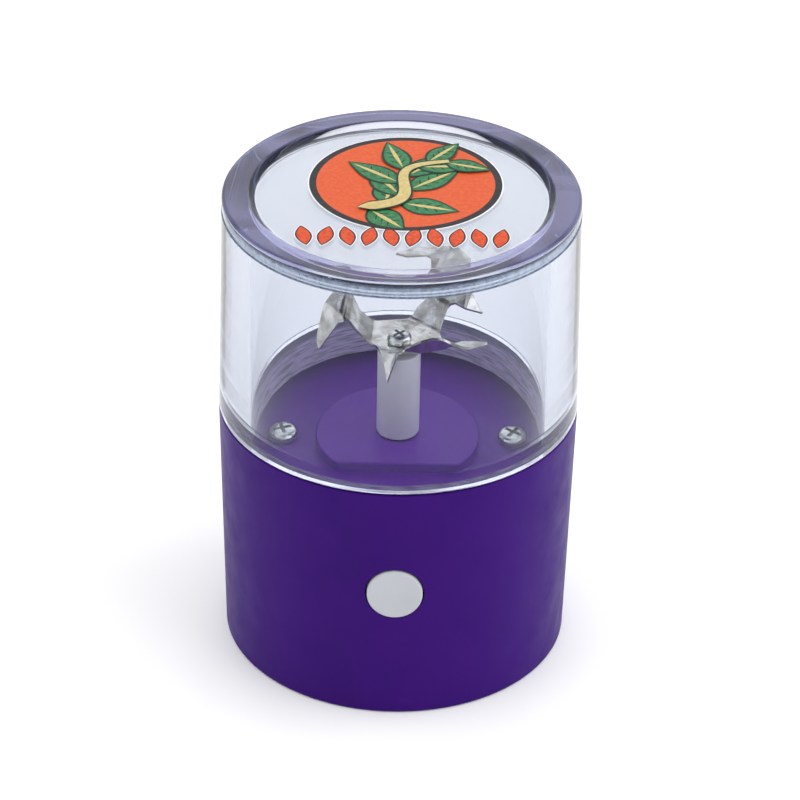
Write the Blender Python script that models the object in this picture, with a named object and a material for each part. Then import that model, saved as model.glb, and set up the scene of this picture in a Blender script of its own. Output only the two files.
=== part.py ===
"""A battery-driven spice grinder: a round base with a motor, and a clear screw-on cup over a steel blade.

Lengths in this file are in millimetres, and MM turns them into metres when a mesh is made.
Z is up, the push button faces -Y, and the origin is at the middle of the base's underside.
"""

import math

import bmesh
import bpy
from mathutils import Matrix, Vector

MM = 0.001
CLEARANCE = 0.3

# The whole object
TOTAL_HEIGHT = 87.24
JOINT_RADIUS = 31.5
FOOT_RADIUS = 30.5

# The base shell
RIM_Z = 46.2
WALL_INNER_RADIUS = 28.3
FLOOR_TOP = 2.2
UNDERSIDE_RECESS = 0.8
LEDGE_Z = 36.2
WELL_RADIUS = 29.7
THREAD_DEPTH = 0.5
THREAD_LEAD = 3.0
THREAD_STARTS = 2
SEAL_REBATE_RADIUS = 30.9
SEAL_REBATE_Z = 45.2

# The deck that closes the base
DECK_TOP = 38.3
DECK_RADIUS = 29.3
DECK_THICKNESS = 1.8
BOSS_RADIUS = 14.6
BOSS_FLAT = 10.4
BOSS_TOP = 40.1
DECK_SCREW_X = 20.8

# The clear cup
SHOULDER_Z = 46.5
BORE_RADIUS = 26.2
SPIGOT_BOTTOM = 40.1
SPIGOT_NECK_RADIUS = 29.4
WALL_TOP_RADIUS = 30.75
NECK_GROOVE_RADIUS = 30.45
FLANGE_RADIUS = 30.67
FLANGE_HEIGHT = 2.3
RIM_FLAT_RADIUS = 26.2
RECESS_RADIUS = 25.05
RECESS_DEPTH = 0.95
LID_THICKNESS = 2.6

# The shaft and the blade
SLEEVE_RADIUS = 3.8
SLEEVE_BOTTOM = 40.4
SLEEVE_TOP = 56.7
SHAFT_RADIUS = 1.0
BLADE_THICKNESS = 0.5
BLADE_Z = 57.95
BLADE_HOLE_RADIUS = 1.35

# The motor
MOTOR_RADIUS = 12.1
MOTOR_FLAT = 9.2
MOTOR_TOP = 38.2
MOTOR_CAN_BOTTOM = 9.5
MOTOR_WALL = 0.9
POLE_COUNT = 3

# The button and its switch
BUTTON_Z = 25.8
BUTTON_RADIUS = 4.8
BUTTON_FACE = 31.45

# The charging board and its socket
SOCKET_Z = 8.3
SOCKET_WIDTH = 8.9
SOCKET_HEIGHT = 3.2

LEAD_RADIUS = 0.5
FINE_SEGMENTS = 60
ROUND_SEGMENTS = 24
AUTO_SMOOTH = math.radians(32)

# Turns local +Z to world -Y and local +Y to world +Z
FACING_FRONT = (math.radians(90), 0, 0)
# Turns local +Z to world +Y and local +Y to world +Z, with X mirrored
FACING_BACK = (math.radians(90), 0, math.radians(180))


def clear_scene():
    for obj in list(bpy.data.objects):
        bpy.data.objects.remove(obj)


# Materials


def make_material(name, color, roughness, metallic=0.0, transmission=0.0):
    material = bpy.data.materials.new(name)
    material.use_nodes = True
    shader = material.node_tree.nodes["Principled BSDF"]
    shader.inputs["Base Color"].default_value = (*color, 1.0)
    shader.inputs["Roughness"].default_value = roughness
    shader.inputs["Metallic"].default_value = metallic
    shader.inputs["Transmission Weight"].default_value = transmission
    return material


def make_materials():
    return {
        "clear": make_material("clear_plastic", (0.80, 0.84, 0.92), 0.03, transmission=1.0),
        "label": make_material("label_print", (0.77, 0.15, 0.05), 0.35),
        "seal": make_material("seal_silicone", (0.85, 0.86, 0.90), 0.45),
        "purple": make_material("purple_plastic", (0.045, 0.004, 0.17), 0.42),
        "deck": make_material("deck_plastic", (0.075, 0.035, 0.20), 0.40),
        "white": make_material("white_plastic", (0.62, 0.62, 0.65), 0.38),
        "button": make_material("button_plastic", (0.60, 0.61, 0.64), 0.35),
        "steel": make_material("stainless_steel", (0.62, 0.61, 0.58), 0.22, metallic=1.0),
        "zinc": make_material("zinc_plate", (0.70, 0.72, 0.72), 0.28, metallic=1.0),
        "can": make_material("motor_can_steel", (0.55, 0.55, 0.55), 0.35, metallic=1.0),
        "bronze": make_material("sintered_bronze", (0.55, 0.34, 0.14), 0.5, metallic=1.0),
        "brass": make_material("terminal_brass", (0.78, 0.60, 0.28), 0.3, metallic=1.0),
        "copper": make_material("winding_copper", (0.70, 0.28, 0.13), 0.4, metallic=1.0),
        "ferrite": make_material("ferrite", (0.05, 0.05, 0.055), 0.6),
        "core": make_material("core_laminations", (0.30, 0.30, 0.31), 0.5, metallic=1.0),
        "nylon": make_material("end_cap_nylon", (0.05, 0.05, 0.05), 0.5),
        "carbon": make_material("brush_carbon", (0.06, 0.06, 0.06), 0.7),
        "pouch": make_material("battery_pouch", (0.50, 0.51, 0.53), 0.4, metallic=0.6),
        "board": make_material("circuit_board", (0.02, 0.16, 0.06), 0.45),
        "chip": make_material("chip_resin", (0.03, 0.03, 0.03), 0.45),
        "led": make_material("led_lens", (0.80, 0.80, 0.70), 0.2),
        "switch": make_material("switch_housing", (0.04, 0.04, 0.04), 0.5),
        "lead_red": make_material("lead_red", (0.55, 0.02, 0.02), 0.5),
        "lead_black": make_material("lead_black", (0.02, 0.02, 0.02), 0.5),
    }


# Building blocks


def add_object(name, mesh, material, location=(0, 0, 0), rotation=(0, 0, 0)):
    obj = bpy.data.objects.new(name, mesh)
    bpy.context.scene.collection.objects.link(obj)
    obj.location = [value * MM for value in location]
    obj.rotation_euler = rotation
    if material:
        mesh.materials.append(material)
    return obj


def finish_mesh(name, bm, smooth=True):
    """Turns a bmesh in millimetres into a mesh in metres, faces outward."""
    bmesh.ops.scale(bm, vec=(MM, MM, MM), verts=bm.verts)
    bmesh.ops.recalc_face_normals(bm, faces=bm.faces)
    mesh = bpy.data.meshes.new(name)
    bm.to_mesh(mesh)
    bm.free()
    if smooth:
        mesh.shade_smooth()
        mesh.set_sharp_from_angle(angle=AUTO_SMOOTH)
    return mesh


def polar(radius, angle):
    return radius * math.cos(angle), radius * math.sin(angle)


def arc(center_r, center_z, radius, start_deg, end_deg, steps):
    """Points along a circular arc in the (r, z) plane, both ends included."""
    points = []
    for i in range(steps + 1):
        angle = math.radians(start_deg + (end_deg - start_deg) * i / steps)
        points.append((center_r + radius * math.cos(angle), center_z + radius * math.sin(angle)))
    return points


def turned_mesh(name, profile_at, segments):
    """Turns a closed profile about Z. profile_at(angle) gives its (r, z) points at that angle.

    A profile that starts and ends on the axis is closed there with a flat cap at each end.
    """
    bm = bmesh.new()
    columns = []
    for i in range(segments):
        angle = 2 * math.pi * i / segments
        columns.append([bm.verts.new((*polar(r, angle), z)) for r, z in profile_at(angle) if r > 0])
    radii = [r for r, z in profile_at(0.0)]
    rows = sum(1 for r in radii if r > 0)
    caps = [sum(1 for r in radii[:i] if r > 0) for i, r in enumerate(radii) if r == 0]
    if caps:
        last = (caps[0] - 1) % rows
        bm.faces.new([column[last] for column in columns])
        bm.faces.new([column[(last + 1) % rows] for column in columns])
    for i in range(segments):
        here = columns[i]
        there = columns[(i + 1) % segments]
        for j in range(rows):
            if caps and j == last:
                continue
            k = (j + 1) % rows
            bm.faces.new((here[j], there[j], there[k], here[k]))
    return finish_mesh(name, bm)


def turned(name, profile, material, segments=ROUND_SEGMENTS, location=(0, 0, 0), rotation=(0, 0, 0)):
    mesh = turned_mesh(name, lambda angle: profile, segments)
    return add_object(name, mesh, material, location, rotation)


def tube(name, inner, outer, low, high, material, segments=ROUND_SEGMENTS, location=(0, 0, 0)):
    profile = [(inner, low), (outer, low), (outer, high), (inner, high)]
    return turned(name, profile, material, segments, location)


def rod(name, radius, low, high, material, segments=ROUND_SEGMENTS, location=(0, 0, 0), rotation=(0, 0, 0)):
    profile = [(0, low), (radius, low), (radius, high), (0, high)]
    return turned(name, profile, material, segments, location, rotation)


def extruded(name, outline, low, high, material, location=(0, 0, 0), rotation=(0, 0, 0)):
    """A closed outline of (x, y) points, made solid between two heights."""
    bm = bmesh.new()
    bottom = [bm.verts.new((x, y, low)) for x, y in outline]
    top = [bm.verts.new((x, y, high)) for x, y in outline]
    bm.faces.new(bottom)
    bm.faces.new(top)
    for i in range(len(outline)):
        j = (i + 1) % len(outline)
        bm.faces.new((bottom[i], bottom[j], top[j], top[i]))
    return add_object(name, finish_mesh(name, bm), material, location, rotation)


def box(name, low, high, material, bevel=0.0):
    """A box between two corners, with its edges rounded by the bevel."""
    center = [(a + b) / 2 for a, b in zip(low, high)]
    bm = bmesh.new()
    bmesh.ops.create_cube(bm, size=1.0)
    bmesh.ops.scale(bm, vec=[b - a for a, b in zip(low, high)], verts=bm.verts)
    obj = add_object(name, finish_mesh(name, bm, smooth=False), material, center)
    if bevel:
        modifier = obj.modifiers.new("edges", "BEVEL")
        modifier.width = bevel * MM
        modifier.segments = 2
    return obj


def boolean(target, tool, operation):
    tool.hide_render = True
    tool.display_type = "WIRE"
    modifier = target.modifiers.new(operation.lower(), "BOOLEAN")
    modifier.operation = operation
    modifier.object = tool


def cut(target, *tools):
    for tool in tools:
        boolean(target, tool, "DIFFERENCE")


def join(target, *tools):
    for tool in tools:
        boolean(target, tool, "UNION")


def flatted_circle(radius, flat, steps=12):
    """A circle cut off by two flats at y = -flat and y = +flat."""
    half_angle = math.asin(flat / radius)
    points = []
    for center in (0, math.pi):
        for i in range(steps + 1):
            angle = center - half_angle + 2 * half_angle * i / steps
            points.append(polar(radius, angle))
    return points


def rounded_rectangle(width, height, radius, center=(0, 0), steps=4):
    points = []
    for corner, (sx, sy) in enumerate(((1, 1), (-1, 1), (-1, -1), (1, -1))):
        cx = center[0] + sx * (width / 2 - radius)
        cy = center[1] + sy * (height / 2 - radius)
        for i in range(steps + 1):
            dx, dy = polar(radius, math.radians(90 * corner + 90 * i / steps))
            points.append((cx + dx, cy + dy))
    return points


def cross_outline(length, width):
    """A plus sign, as the recess of a cross-head screw."""
    a = length / 2
    b = width / 2
    quarter = [(a, -b), (a, b), (b, b)]
    points = []
    for turn in range(4):
        c = round(math.cos(turn * math.pi / 2))
        s = round(math.sin(turn * math.pi / 2))
        points.extend((c * x - s * y, s * x + c * y) for x, y in quarter)
    return points


# The screw thread between the cup and the base


def thread_rise(angle, z, low, high):
    """How far a rounded, right-hand, two-start thread stands out of its root at one place."""
    phase = THREAD_STARTS * (2 * math.pi * (z - low) / THREAD_LEAD - angle)
    run_out = min(1.0, (z - low) / 0.5, (high - z) / 0.5)
    return THREAD_DEPTH * run_out * (0.5 + 0.5 * math.cos(phase))


def thread_rows(root, angle, low, high, steps):
    heights = [low + (high - low) * i / steps for i in range(steps + 1)]
    return [(root + thread_rise(angle, z, low, high), z) for z in heights]


# The cup and what turns with it


def cup_profile(angle):
    """The cup's section: spigot and thread, shoulder, wall, flange, recessed top, and the bore."""
    root = SPIGOT_NECK_RADIUS - THREAD_DEPTH
    flange_bottom = TOTAL_HEIGHT - FLANGE_HEIGHT
    recess_z = TOTAL_HEIGHT - RECESS_DEPTH
    lid_underside = recess_z - LID_THICKNESS
    edge = 0.8
    bore_fillet = 1.0
    points = [(BORE_RADIUS + 0.2, SPIGOT_BOTTOM), (root - 0.2, SPIGOT_BOTTOM)]
    points += thread_rows(root, angle, SPIGOT_BOTTOM + 0.3, 45.0, 12)
    points += [(SPIGOT_NECK_RADIUS, 45.3), (SPIGOT_NECK_RADIUS, SHOULDER_Z)]
    points += [(JOINT_RADIUS - 0.2, SHOULDER_Z), (JOINT_RADIUS, SHOULDER_Z + 0.2)]
    points += [(WALL_TOP_RADIUS, flange_bottom - 0.6), (NECK_GROOVE_RADIUS, flange_bottom - 0.4)]
    points += [(NECK_GROOVE_RADIUS, flange_bottom - 0.1), (FLANGE_RADIUS, flange_bottom + 0.25)]
    points += arc(FLANGE_RADIUS - edge, TOTAL_HEIGHT - edge, edge, 0, 90, 4)
    points += [(RIM_FLAT_RADIUS, TOTAL_HEIGHT), (RECESS_RADIUS + 0.35, TOTAL_HEIGHT - 0.5)]
    points += [(RECESS_RADIUS, recess_z), (0, recess_z), (0, lid_underside)]
    points += arc(BORE_RADIUS - bore_fillet, lid_underside - bore_fillet, bore_fillet, 90, 0, 3)
    points += [(BORE_RADIUS, SPIGOT_BOTTOM + 0.2)]
    return points


def build_clear_cup(materials):
    mesh = turned_mesh("clear_cup", cup_profile, FINE_SEGMENTS)
    add_object("clear_cup", mesh, materials["clear"])


def label_outline(disc_center_y, disc_radius, strip_width, strip_top, strip_bottom):
    """A round label and a short strip under it, cut as one outline."""
    points = []
    half = strip_width / 2
    corner = 1.0
    reach = math.sqrt(disc_radius**2 - (strip_top - disc_center_y) ** 2)
    first = math.atan2(strip_top - disc_center_y, reach)
    last = math.pi - first
    steps = 32
    for i in range(steps + 1):
        x, y = polar(disc_radius, first + (last - first) * i / steps)
        points.append((x, disc_center_y + y))
    points += [(-half + corner, strip_top), (-half, strip_top - corner)]
    points += [(-half, strip_bottom + corner), (-half + corner, strip_bottom)]
    points += [(half - corner, strip_bottom), (half, strip_bottom + corner)]
    points += [(half, strip_top - corner), (half - corner, strip_top)]
    return points


def build_top_label(materials):
    outline = label_outline(
        disc_center_y=4.2, disc_radius=16.8, strip_width=36.4, strip_top=-11.3, strip_bottom=-17.7
    )
    low = TOTAL_HEIGHT - RECESS_DEPTH + CLEARANCE
    extruded("top_label", outline, low, low + 0.2, materials["label"])


def build_cup_seal(materials):
    """A flat ring in the rebate of the base's rim, under the cup's shoulder."""
    inner = SPIGOT_NECK_RADIUS + CLEARANCE
    outer = SEAL_REBATE_RADIUS - CLEARANCE
    low = SEAL_REBATE_Z + CLEARANCE
    tube("cup_seal", inner, outer, low, SHOULDER_Z - CLEARANCE, materials["seal"], FINE_SEGMENTS)


# The base


def shell_profile(angle):
    """The shell's section: underside, outer wall, rim, threaded well, ledge and floor."""
    foot_ring = 27.5
    draft_top = JOINT_RADIUS - 0.05
    points = [(0, UNDERSIDE_RECESS), (foot_ring, UNDERSIDE_RECESS), (foot_ring + 0.4, 0)]
    points += arc(FOOT_RADIUS - 0.6, 0.6, 0.6, -90, 0, 3)
    points += [(draft_top, RIM_Z - 0.35), (draft_top - 0.2, RIM_Z), (SEAL_REBATE_RADIUS, RIM_Z)]
    points += [(SEAL_REBATE_RADIUS, SEAL_REBATE_Z), (WELL_RADIUS, SEAL_REBATE_Z)]
    points += reversed(thread_rows(WELL_RADIUS, angle, SPIGOT_BOTTOM + 0.1, 44.8, 12))
    points += [(WELL_RADIUS, LEDGE_Z), (WALL_INNER_RADIUS, LEDGE_Z)]
    points += [(WALL_INNER_RADIUS, FLOOR_TOP), (0, FLOOR_TOP)]
    return points


def screw_post(side):
    """A post from the floor to the deck, with the pilot hole that its screw cuts into."""
    x = side * DECK_SCREW_X
    post = rod("post_tool", 3.2, FLOOR_TOP - 1, LEDGE_Z, None, 16, (x, 0, 0))
    hole = rod("pilot_tool", 1.5, 24, LEDGE_Z + 1, None, 16, (x, 0, 0))
    return post, hole


def motor_cradle(side):
    """A curved rib on the floor, which holds the motor's lower end."""
    outline = []
    spread = math.radians(38)
    middle = 0 if side > 0 else math.pi
    for radius, direction in ((12.6, -1), (14.4, 1)):
        for i in range(9):
            angle = middle + direction * spread * (1 - 2 * i / 8)
            outline.append(polar(radius, angle))
    return extruded("cradle_tool", outline, FLOOR_TOP - 1, 14, None)


def build_base_shell(materials):
    mesh = turned_mesh("base_shell", shell_profile, FINE_SEGMENTS)
    shell = add_object("base_shell", mesh, materials["purple"])
    for side in (-1, 1):
        post, hole = screw_post(side)
        join(shell, post, motor_cradle(side))
        cut(shell, hole)
        board_rib = box(
            "board_rib_tool", (side * 10.4 - 1.1, -20.4, FLOOR_TOP - 1), (side * 10.4 + 1.1, -16.2, 33), None
        )
        peg = rod("peg_tool", 1.4, FLOOR_TOP - 1, 4.9, None, 12, (side * 5.5, 20.6, 0))
        join(shell, board_rib, peg)
    button_hole = rod("button_hole_tool", BUTTON_RADIUS + CLEARANCE, 25, 34, None, 32, (0, 0, BUTTON_Z), FACING_FRONT)
    slot = rounded_rectangle(SOCKET_WIDTH + 0.8, SOCKET_HEIGHT + 0.8, 1.9)
    socket_hole = extruded("socket_hole_tool", slot, 26, 34, None, (0, 0, SOCKET_Z), FACING_BACK)
    cut(shell, button_hole, socket_hole)


def boss_outline(steps=28):
    """A circle with one flat, which faces the button."""
    corner = math.asin(BOSS_FLAT / BOSS_RADIUS)
    sweep = math.pi + 2 * corner
    return [polar(BOSS_RADIUS, sweep * i / steps - corner) for i in range(steps + 1)]


def build_deck_plate(materials):
    """The disc over the motor, with a raised round boss that has one flat."""
    underside = DECK_TOP - DECK_THICKNESS
    profile = [(0, underside), (DECK_RADIUS - 0.3, underside), (DECK_RADIUS, underside + 0.3)]
    profile += [(DECK_RADIUS, DECK_TOP - 0.2), (DECK_RADIUS - 0.2, DECK_TOP), (0, DECK_TOP)]
    deck = turned("deck_plate", profile, materials["deck"], FINE_SEGMENTS)
    boss = extruded("boss_tool", boss_outline(), underside + 0.5, BOSS_TOP, None)
    edge = boss.modifiers.new("edges", "BEVEL")
    edge.width = 0.35 * MM
    edge.segments = 2
    edge.limit_method = "ANGLE"
    pocket_outline = flatted_circle(MOTOR_RADIUS + CLEARANCE, MOTOR_FLAT + CLEARANCE)
    pocket = extruded("pocket_tool", pocket_outline, underside - 1, MOTOR_TOP + CLEARANCE, None)
    join(deck, boss)
    cut(deck, pocket, rod("shaft_hole_tool", 3.35, underside, BOSS_TOP + 1, None, 24))
    for side in (-1, 1):
        cut(deck, rod("screw_hole_tool", 1.6, underside - 1, BOSS_TOP + 1, None, 16, (side * DECK_SCREW_X, 0, 0)))


def build_pan_screw(name, head_radius, head_height, shank_radius, shank_length, seat_z, x, material):
    """A cross-head pan screw whose head rests at seat_z."""
    profile = [(0, -shank_length), (shank_radius * 0.5, -shank_length), (shank_radius, 0.8 - shank_length)]
    profile += [(shank_radius, 0), (head_radius, 0), (head_radius, head_height * 0.4)]
    profile += [(head_radius * 0.88, head_height * 0.76), (head_radius * 0.6, head_height)]
    profile += [(0, head_height)]
    screw = turned(name, profile, material, ROUND_SEGMENTS, (x, 0, seat_z))
    recess = extruded(
        "recess_tool", cross_outline(head_radius * 1.15, head_radius * 0.3), head_height * 0.35,
        head_height + 1, None, (x, 0, seat_z), (0, 0, math.radians(30)),
    )
    cut(screw, recess)


def build_deck_screws(materials):
    for name, side in (("deck_screw_left", -1), ("deck_screw_right", 1)):
        seat = DECK_TOP + CLEARANCE
        build_pan_screw(name, 2.65, 1.6, 1.2, 13.5, seat, side * DECK_SCREW_X, materials["zinc"])


# The blade and its drive


def build_shaft_sleeve(materials):
    """The plastic sleeve pressed on the motor shaft; its upper hole takes the blade's screw."""
    shaft_bore = SHAFT_RADIUS + CLEARANCE
    screw_bore = 1.4
    profile = [(shaft_bore, SLEEVE_BOTTOM), (SLEEVE_RADIUS - 0.3, SLEEVE_BOTTOM)]
    profile += [(SLEEVE_RADIUS, SLEEVE_BOTTOM + 0.3), (SLEEVE_RADIUS, SLEEVE_TOP - 0.3)]
    profile += [(SLEEVE_RADIUS - 0.3, SLEEVE_TOP), (screw_bore, SLEEVE_TOP), (screw_bore, 50.5)]
    profile += [(0, 50.5), (0, 49.5), (shaft_bore, 49.5)]
    turned("shaft_sleeve", profile, materials["white"], 32)


def build_blade_screw(materials):
    seat = BLADE_Z + BLADE_THICKNESS / 2 + CLEARANCE
    build_pan_screw("blade_screw", 2.15, 1.5, 1.0, 7.0, seat, 0, materials["zinc"])


def build_blade_washer(materials):
    """A split spring washer under the blade, closed by a narrow gap at one side."""
    inner = 1.35
    outer = 2.6
    half_gap = math.radians(9)
    steps = 20
    outline = []
    for radius, direction in ((inner, -1), (outer, 1)):
        for i in range(steps + 1):
            angle = math.pi / 2 + math.pi + direction * (math.pi - half_gap) * (2 * i / steps - 1)
            outline.append(polar(radius, angle))
    low = SLEEVE_TOP + CLEARANCE
    extruded("blade_washer", outline, low, BLADE_Z - BLADE_THICKNESS / 2 - CLEARANCE, materials["zinc"])


# The blade is one stamped sheet: a hub plate with a hole, and four arms bent out of it. Corners are
# (x, y, height over the hub). Arm a points left and up and its end is folded down. Arm b points back
# and up and ends in two wings. Arm c stands on edge along the hub's front and twists out to the
# right. Arm d is folded down at the front.

BLADE_CORNERS = {
    "a0": (-5.1, 0.0, 0.0), "a1": (-4.75, 6.7, 0.0), "a2": (-7.6, 0.0, 2.3), "a3": (-7.3, 6.7, 2.2),
    "a4": (-9.0, 0.0, 4.5), "a5": (-8.6, 6.9, 5.1), "a6": (-10.1, 0.0, 5.1), "a7": (-9.4, 7.2, 6.4),
    "a8": (-11.0, 0.8, 5.3), "a9": (-11.5, 7.5, 6.2), "a10": (-13.4, 3.8, 5.2), "a11": (-11.0, 0.3, 3.1),
    "a12": (-14.7, 1.5, -0.6), "a13": (-12.9, 0.6, 0.0), "a14": (-14.1, 0.7, -1.9),
    "b0": (7.1, 4.0, 0.0), "b1": (2.0, 7.8, 0.0), "b2": (7.8, 5.2, 2.0), "b3": (3.3, 9.2, 1.6),
    "b4": (8.4, 6.2, 3.2), "b5": (4.9, 9.9, 2.9), "b6": (9.4, 7.0, 4.1), "b7": (6.4, 10.6, 4.1),
    "b8": (11.6, 4.6, 4.3), "b9": (12.7, 8.5, 5.6), "b10": (14.9, 6.4, 2.3), "b11": (12.8, 13.3, 5.7),
    "b12": (8.8, 15.9, 5.8), "b13": (5.3, 14.2, 5.7), "b14": (3.25, 17.2, 5.8), "b15": (1.0, 13.6, 5.7),
    "b16": (-0.9, 14.8, 5.6),
    "c0": (0.9, -3.0, 0.0), "c1": (3.6, -3.3, 0.0), "c2": (5.6, -2.5, 0.0), "c3": (7.4, -1.4, 0.0),
    "c4": (1.0, -3.5, 1.1), "c5": (3.6, -4.2, 2.9), "c6": (5.6, -4.0, 3.4), "c7": (7.4, -3.6, 3.2),
    "c8": (9.2, -0.6, 0.1), "c9": (9.1, -3.6, 2.2), "c10": (11.4, 0.2, 0.3), "c11": (11.4, -4.4, 1.8),
    "c12": (15.25, -2.6, 1.9),
    "d0": (-3.3, -2.4, 0.0), "d1": (-0.9, -3.9, 0.0), "d2": (-2.8, -5.0, -2.1), "d3": (-1.9, -7.2, -3.4),
}
BLADE_HUB = "b0 b1 a1 a0 d0 d1 c0 c1 c2 c3"
BLADE_PANELS = (
    "a0 a1 a3 a2", "a2 a3 a5 a4", "a4 a5 a7 a6", "a6 a7 a9 a8", "a8 a9 a10", "a6 a8 a11",
    "a8 a10 a12 a11", "a11 a12 a13", "a13 a12 a14",
    "b0 b2 b3 b1", "b2 b4 b5 b3", "b4 b6 b7 b5", "b6 b8 b9", "b6 b9 b7", "b7 b9 b11 b12",
    "b7 b12 b13", "b13 b12 b14", "b13 b14 b15", "b15 b14 b16", "b8 b10 b9",
    "c0 c4 c5 c1", "c1 c5 c6 c2", "c2 c6 c7 c3", "c3 c7 c9 c8", "c8 c9 c11 c10", "c10 c11 c12",
    "d0 d2 d1", "d1 d2 d3",
)


def build_blade(materials):
    bm = bmesh.new()
    verts = {name: bm.verts.new(point) for name, point in BLADE_CORNERS.items()}
    for panel in BLADE_PANELS:
        bm.faces.new([verts[name] for name in panel.split()])
    hub = [verts[name] for name in BLADE_HUB.split()]
    hole = [bm.verts.new((*polar(BLADE_HOLE_RADIUS, math.atan2(v.co.y, v.co.x)), 0)) for v in hub]
    for i in range(len(hub)):
        j = (i + 1) % len(hub)
        bm.faces.new((hole[i], hub[i], hub[j], hole[j]))
    mesh = finish_mesh("blade", bm, smooth=False)
    blade = add_object("blade", mesh, materials["steel"], (0, 0, BLADE_Z))
    sheet = blade.modifiers.new("sheet", "SOLIDIFY")
    sheet.thickness = BLADE_THICKNESS * MM
    sheet.offset = 0


# The motor
MOTOR_RADIUS = 12.1
MOTOR_FLAT = 9.2
MOTOR_TOP = 38.2
MOTOR_CAN_BOTTOM = 9.5
MOTOR_WALL = 0.9
POLE_COUNT = 3

# The button and its switch
BUTTON_Z = 25.8
BUTTON_RADIUS = 4.8
BUTTON_FACE = 31.45

# The charging board and its socket
SOCKET_Z = 8.3
SOCKET_WIDTH = 8.9
SOCKET_HEIGHT = 3.2

LEAD_RADIUS = 0.5
FINE_SEGMENTS = 60
ROUND_SEGMENTS = 24
AUTO_SMOOTH = math.radians(32)

# Turns local +Z to world -Y and local +Y to world +Z
FACING_FRONT = (math.radians(90), 0, 0)
# Turns local +Z to world +Y and local +Y to world +Z, with X mirrored
FACING_BACK = (math.radians(90), 0, math.radians(180))


def clear_scene():
    for obj in list(bpy.data.objects):
        bpy.data.objects.remove(obj)


# Materials


def make_material(name, color, roughness, metallic=0.0, transmission=0.0):
    material = bpy.data.materials.new(name)
    material.use_nodes = True
    shader = material.node_tree.nodes["Principled BSDF"]
    shader.inputs["Base Color"].default_value = (*color, 1.0)
    shader.inputs["Roughness"].default_value = roughness
    shader.inputs["Metallic"].default_value = metallic
    shader.inputs["Transmission Weight"].default_value = transmission
    return material


def make_materials():
    return {
        "clear": make_material("clear_plastic", (0.80, 0.84, 0.92), 0.03, transmission=1.0),
        "label": make_material("label_print", (0.77, 0.15, 0.05), 0.35),
        "seal": make_material("seal_silicone", (0.85, 0.86, 0.90), 0.45),
        "purple": make_material("purple_plastic", (0.045, 0.004, 0.17), 0.42),
        "deck": make_material("deck_plastic", (0.075, 0.035, 0.20), 0.40),
        "white": make_material("white_plastic", (0.62, 0.62, 0.65), 0.38),
        "button": make_material("button_plastic", (0.60, 0.61, 0.64), 0.35),
        "steel": make_material("stainless_steel", (0.62, 0.61, 0.58), 0.22, metallic=1.0),
        "zinc": make_material("zinc_plate", (0.70, 0.72, 0.72), 0.28, metallic=1.0),
        "can": make_material("motor_can_steel", (0.55, 0.55, 0.55), 0.35, metallic=1.0),
        "bronze": make_material("sintered_bronze", (0.55, 0.34, 0.14), 0.5, metallic=1.0),
        "brass": make_material("terminal_brass", (0.78, 0.60, 0.28), 0.3, metallic=1.0),
        "copper": make_material("winding_copper", (0.70, 0.28, 0.13), 0.4, metallic=1.0),
        "ferrite": make_material("ferrite", (0.05, 0.05, 0.055), 0.6),
        "core": make_material("core_laminations", (0.30, 0.30, 0.31), 0.5, metallic=1.0),
        "nylon": make_material("end_cap_nylon", (0.05, 0.05, 0.05), 0.5),
        "carbon": make_material("brush_carbon", (0.06, 0.06, 0.06), 0.7),
        "pouch": make_material("battery_pouch", (0.50, 0.51, 0.53), 0.4, metallic=0.6),
        "board": make_material("circuit_board", (0.02, 0.16, 0.06), 0.45),
        "chip": make_material("chip_resin", (0.03, 0.03, 0.03), 0.45),
        "led": make_material("led_lens", (0.80, 0.80, 0.70), 0.2),
        "switch": make_material("switch_housing", (0.04, 0.04, 0.04), 0.5),
        "lead_red": make_material("lead_red", (0.55, 0.02, 0.02), 0.5),
        "lead_black": make_material("lead_black", (0.02, 0.02, 0.02), 0.5),
    }


# Building blocks


def add_object(name, mesh, material, location=(0, 0, 0), rotation=(0, 0, 0)):
    obj = bpy.data.objects.new(name, mesh)
    bpy.context.scene.collection.objects.link(obj)
    obj.location = [value * MM for value in location]
    obj.rotation_euler = rotation
    if material:
        mesh.materials.append(material)
    return obj


def finish_mesh(name, bm, smooth=True):
    """Turns a bmesh in millimetres into a mesh in metres, faces outward."""
    bmesh.ops.scale(bm, vec=(MM, MM, MM), verts=bm.verts)
    bmesh.ops.recalc_face_normals(bm, faces=bm.faces)
    mesh = bpy.data.meshes.new(name)
    bm.to_mesh(mesh)
    bm.free()
    if smooth:
        mesh.shade_smooth()
        mesh.set_sharp_from_angle(angle=AUTO_SMOOTH)
    return mesh


def polar(radius, angle):
    return radius * math.cos(angle), radius * math.sin(angle)


def arc(center_r, center_z, radius, start_deg, end_deg, steps):
    """Points along a circular arc in the (r, z) plane, both ends included."""
    points = []
    for i in range(steps + 1):
        angle = math.radians(start_deg + (end_deg - start_deg) * i / steps)
        points.append((center_r + radius * math.cos(angle), center_z + radius * math.sin(angle)))
    return points


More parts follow.
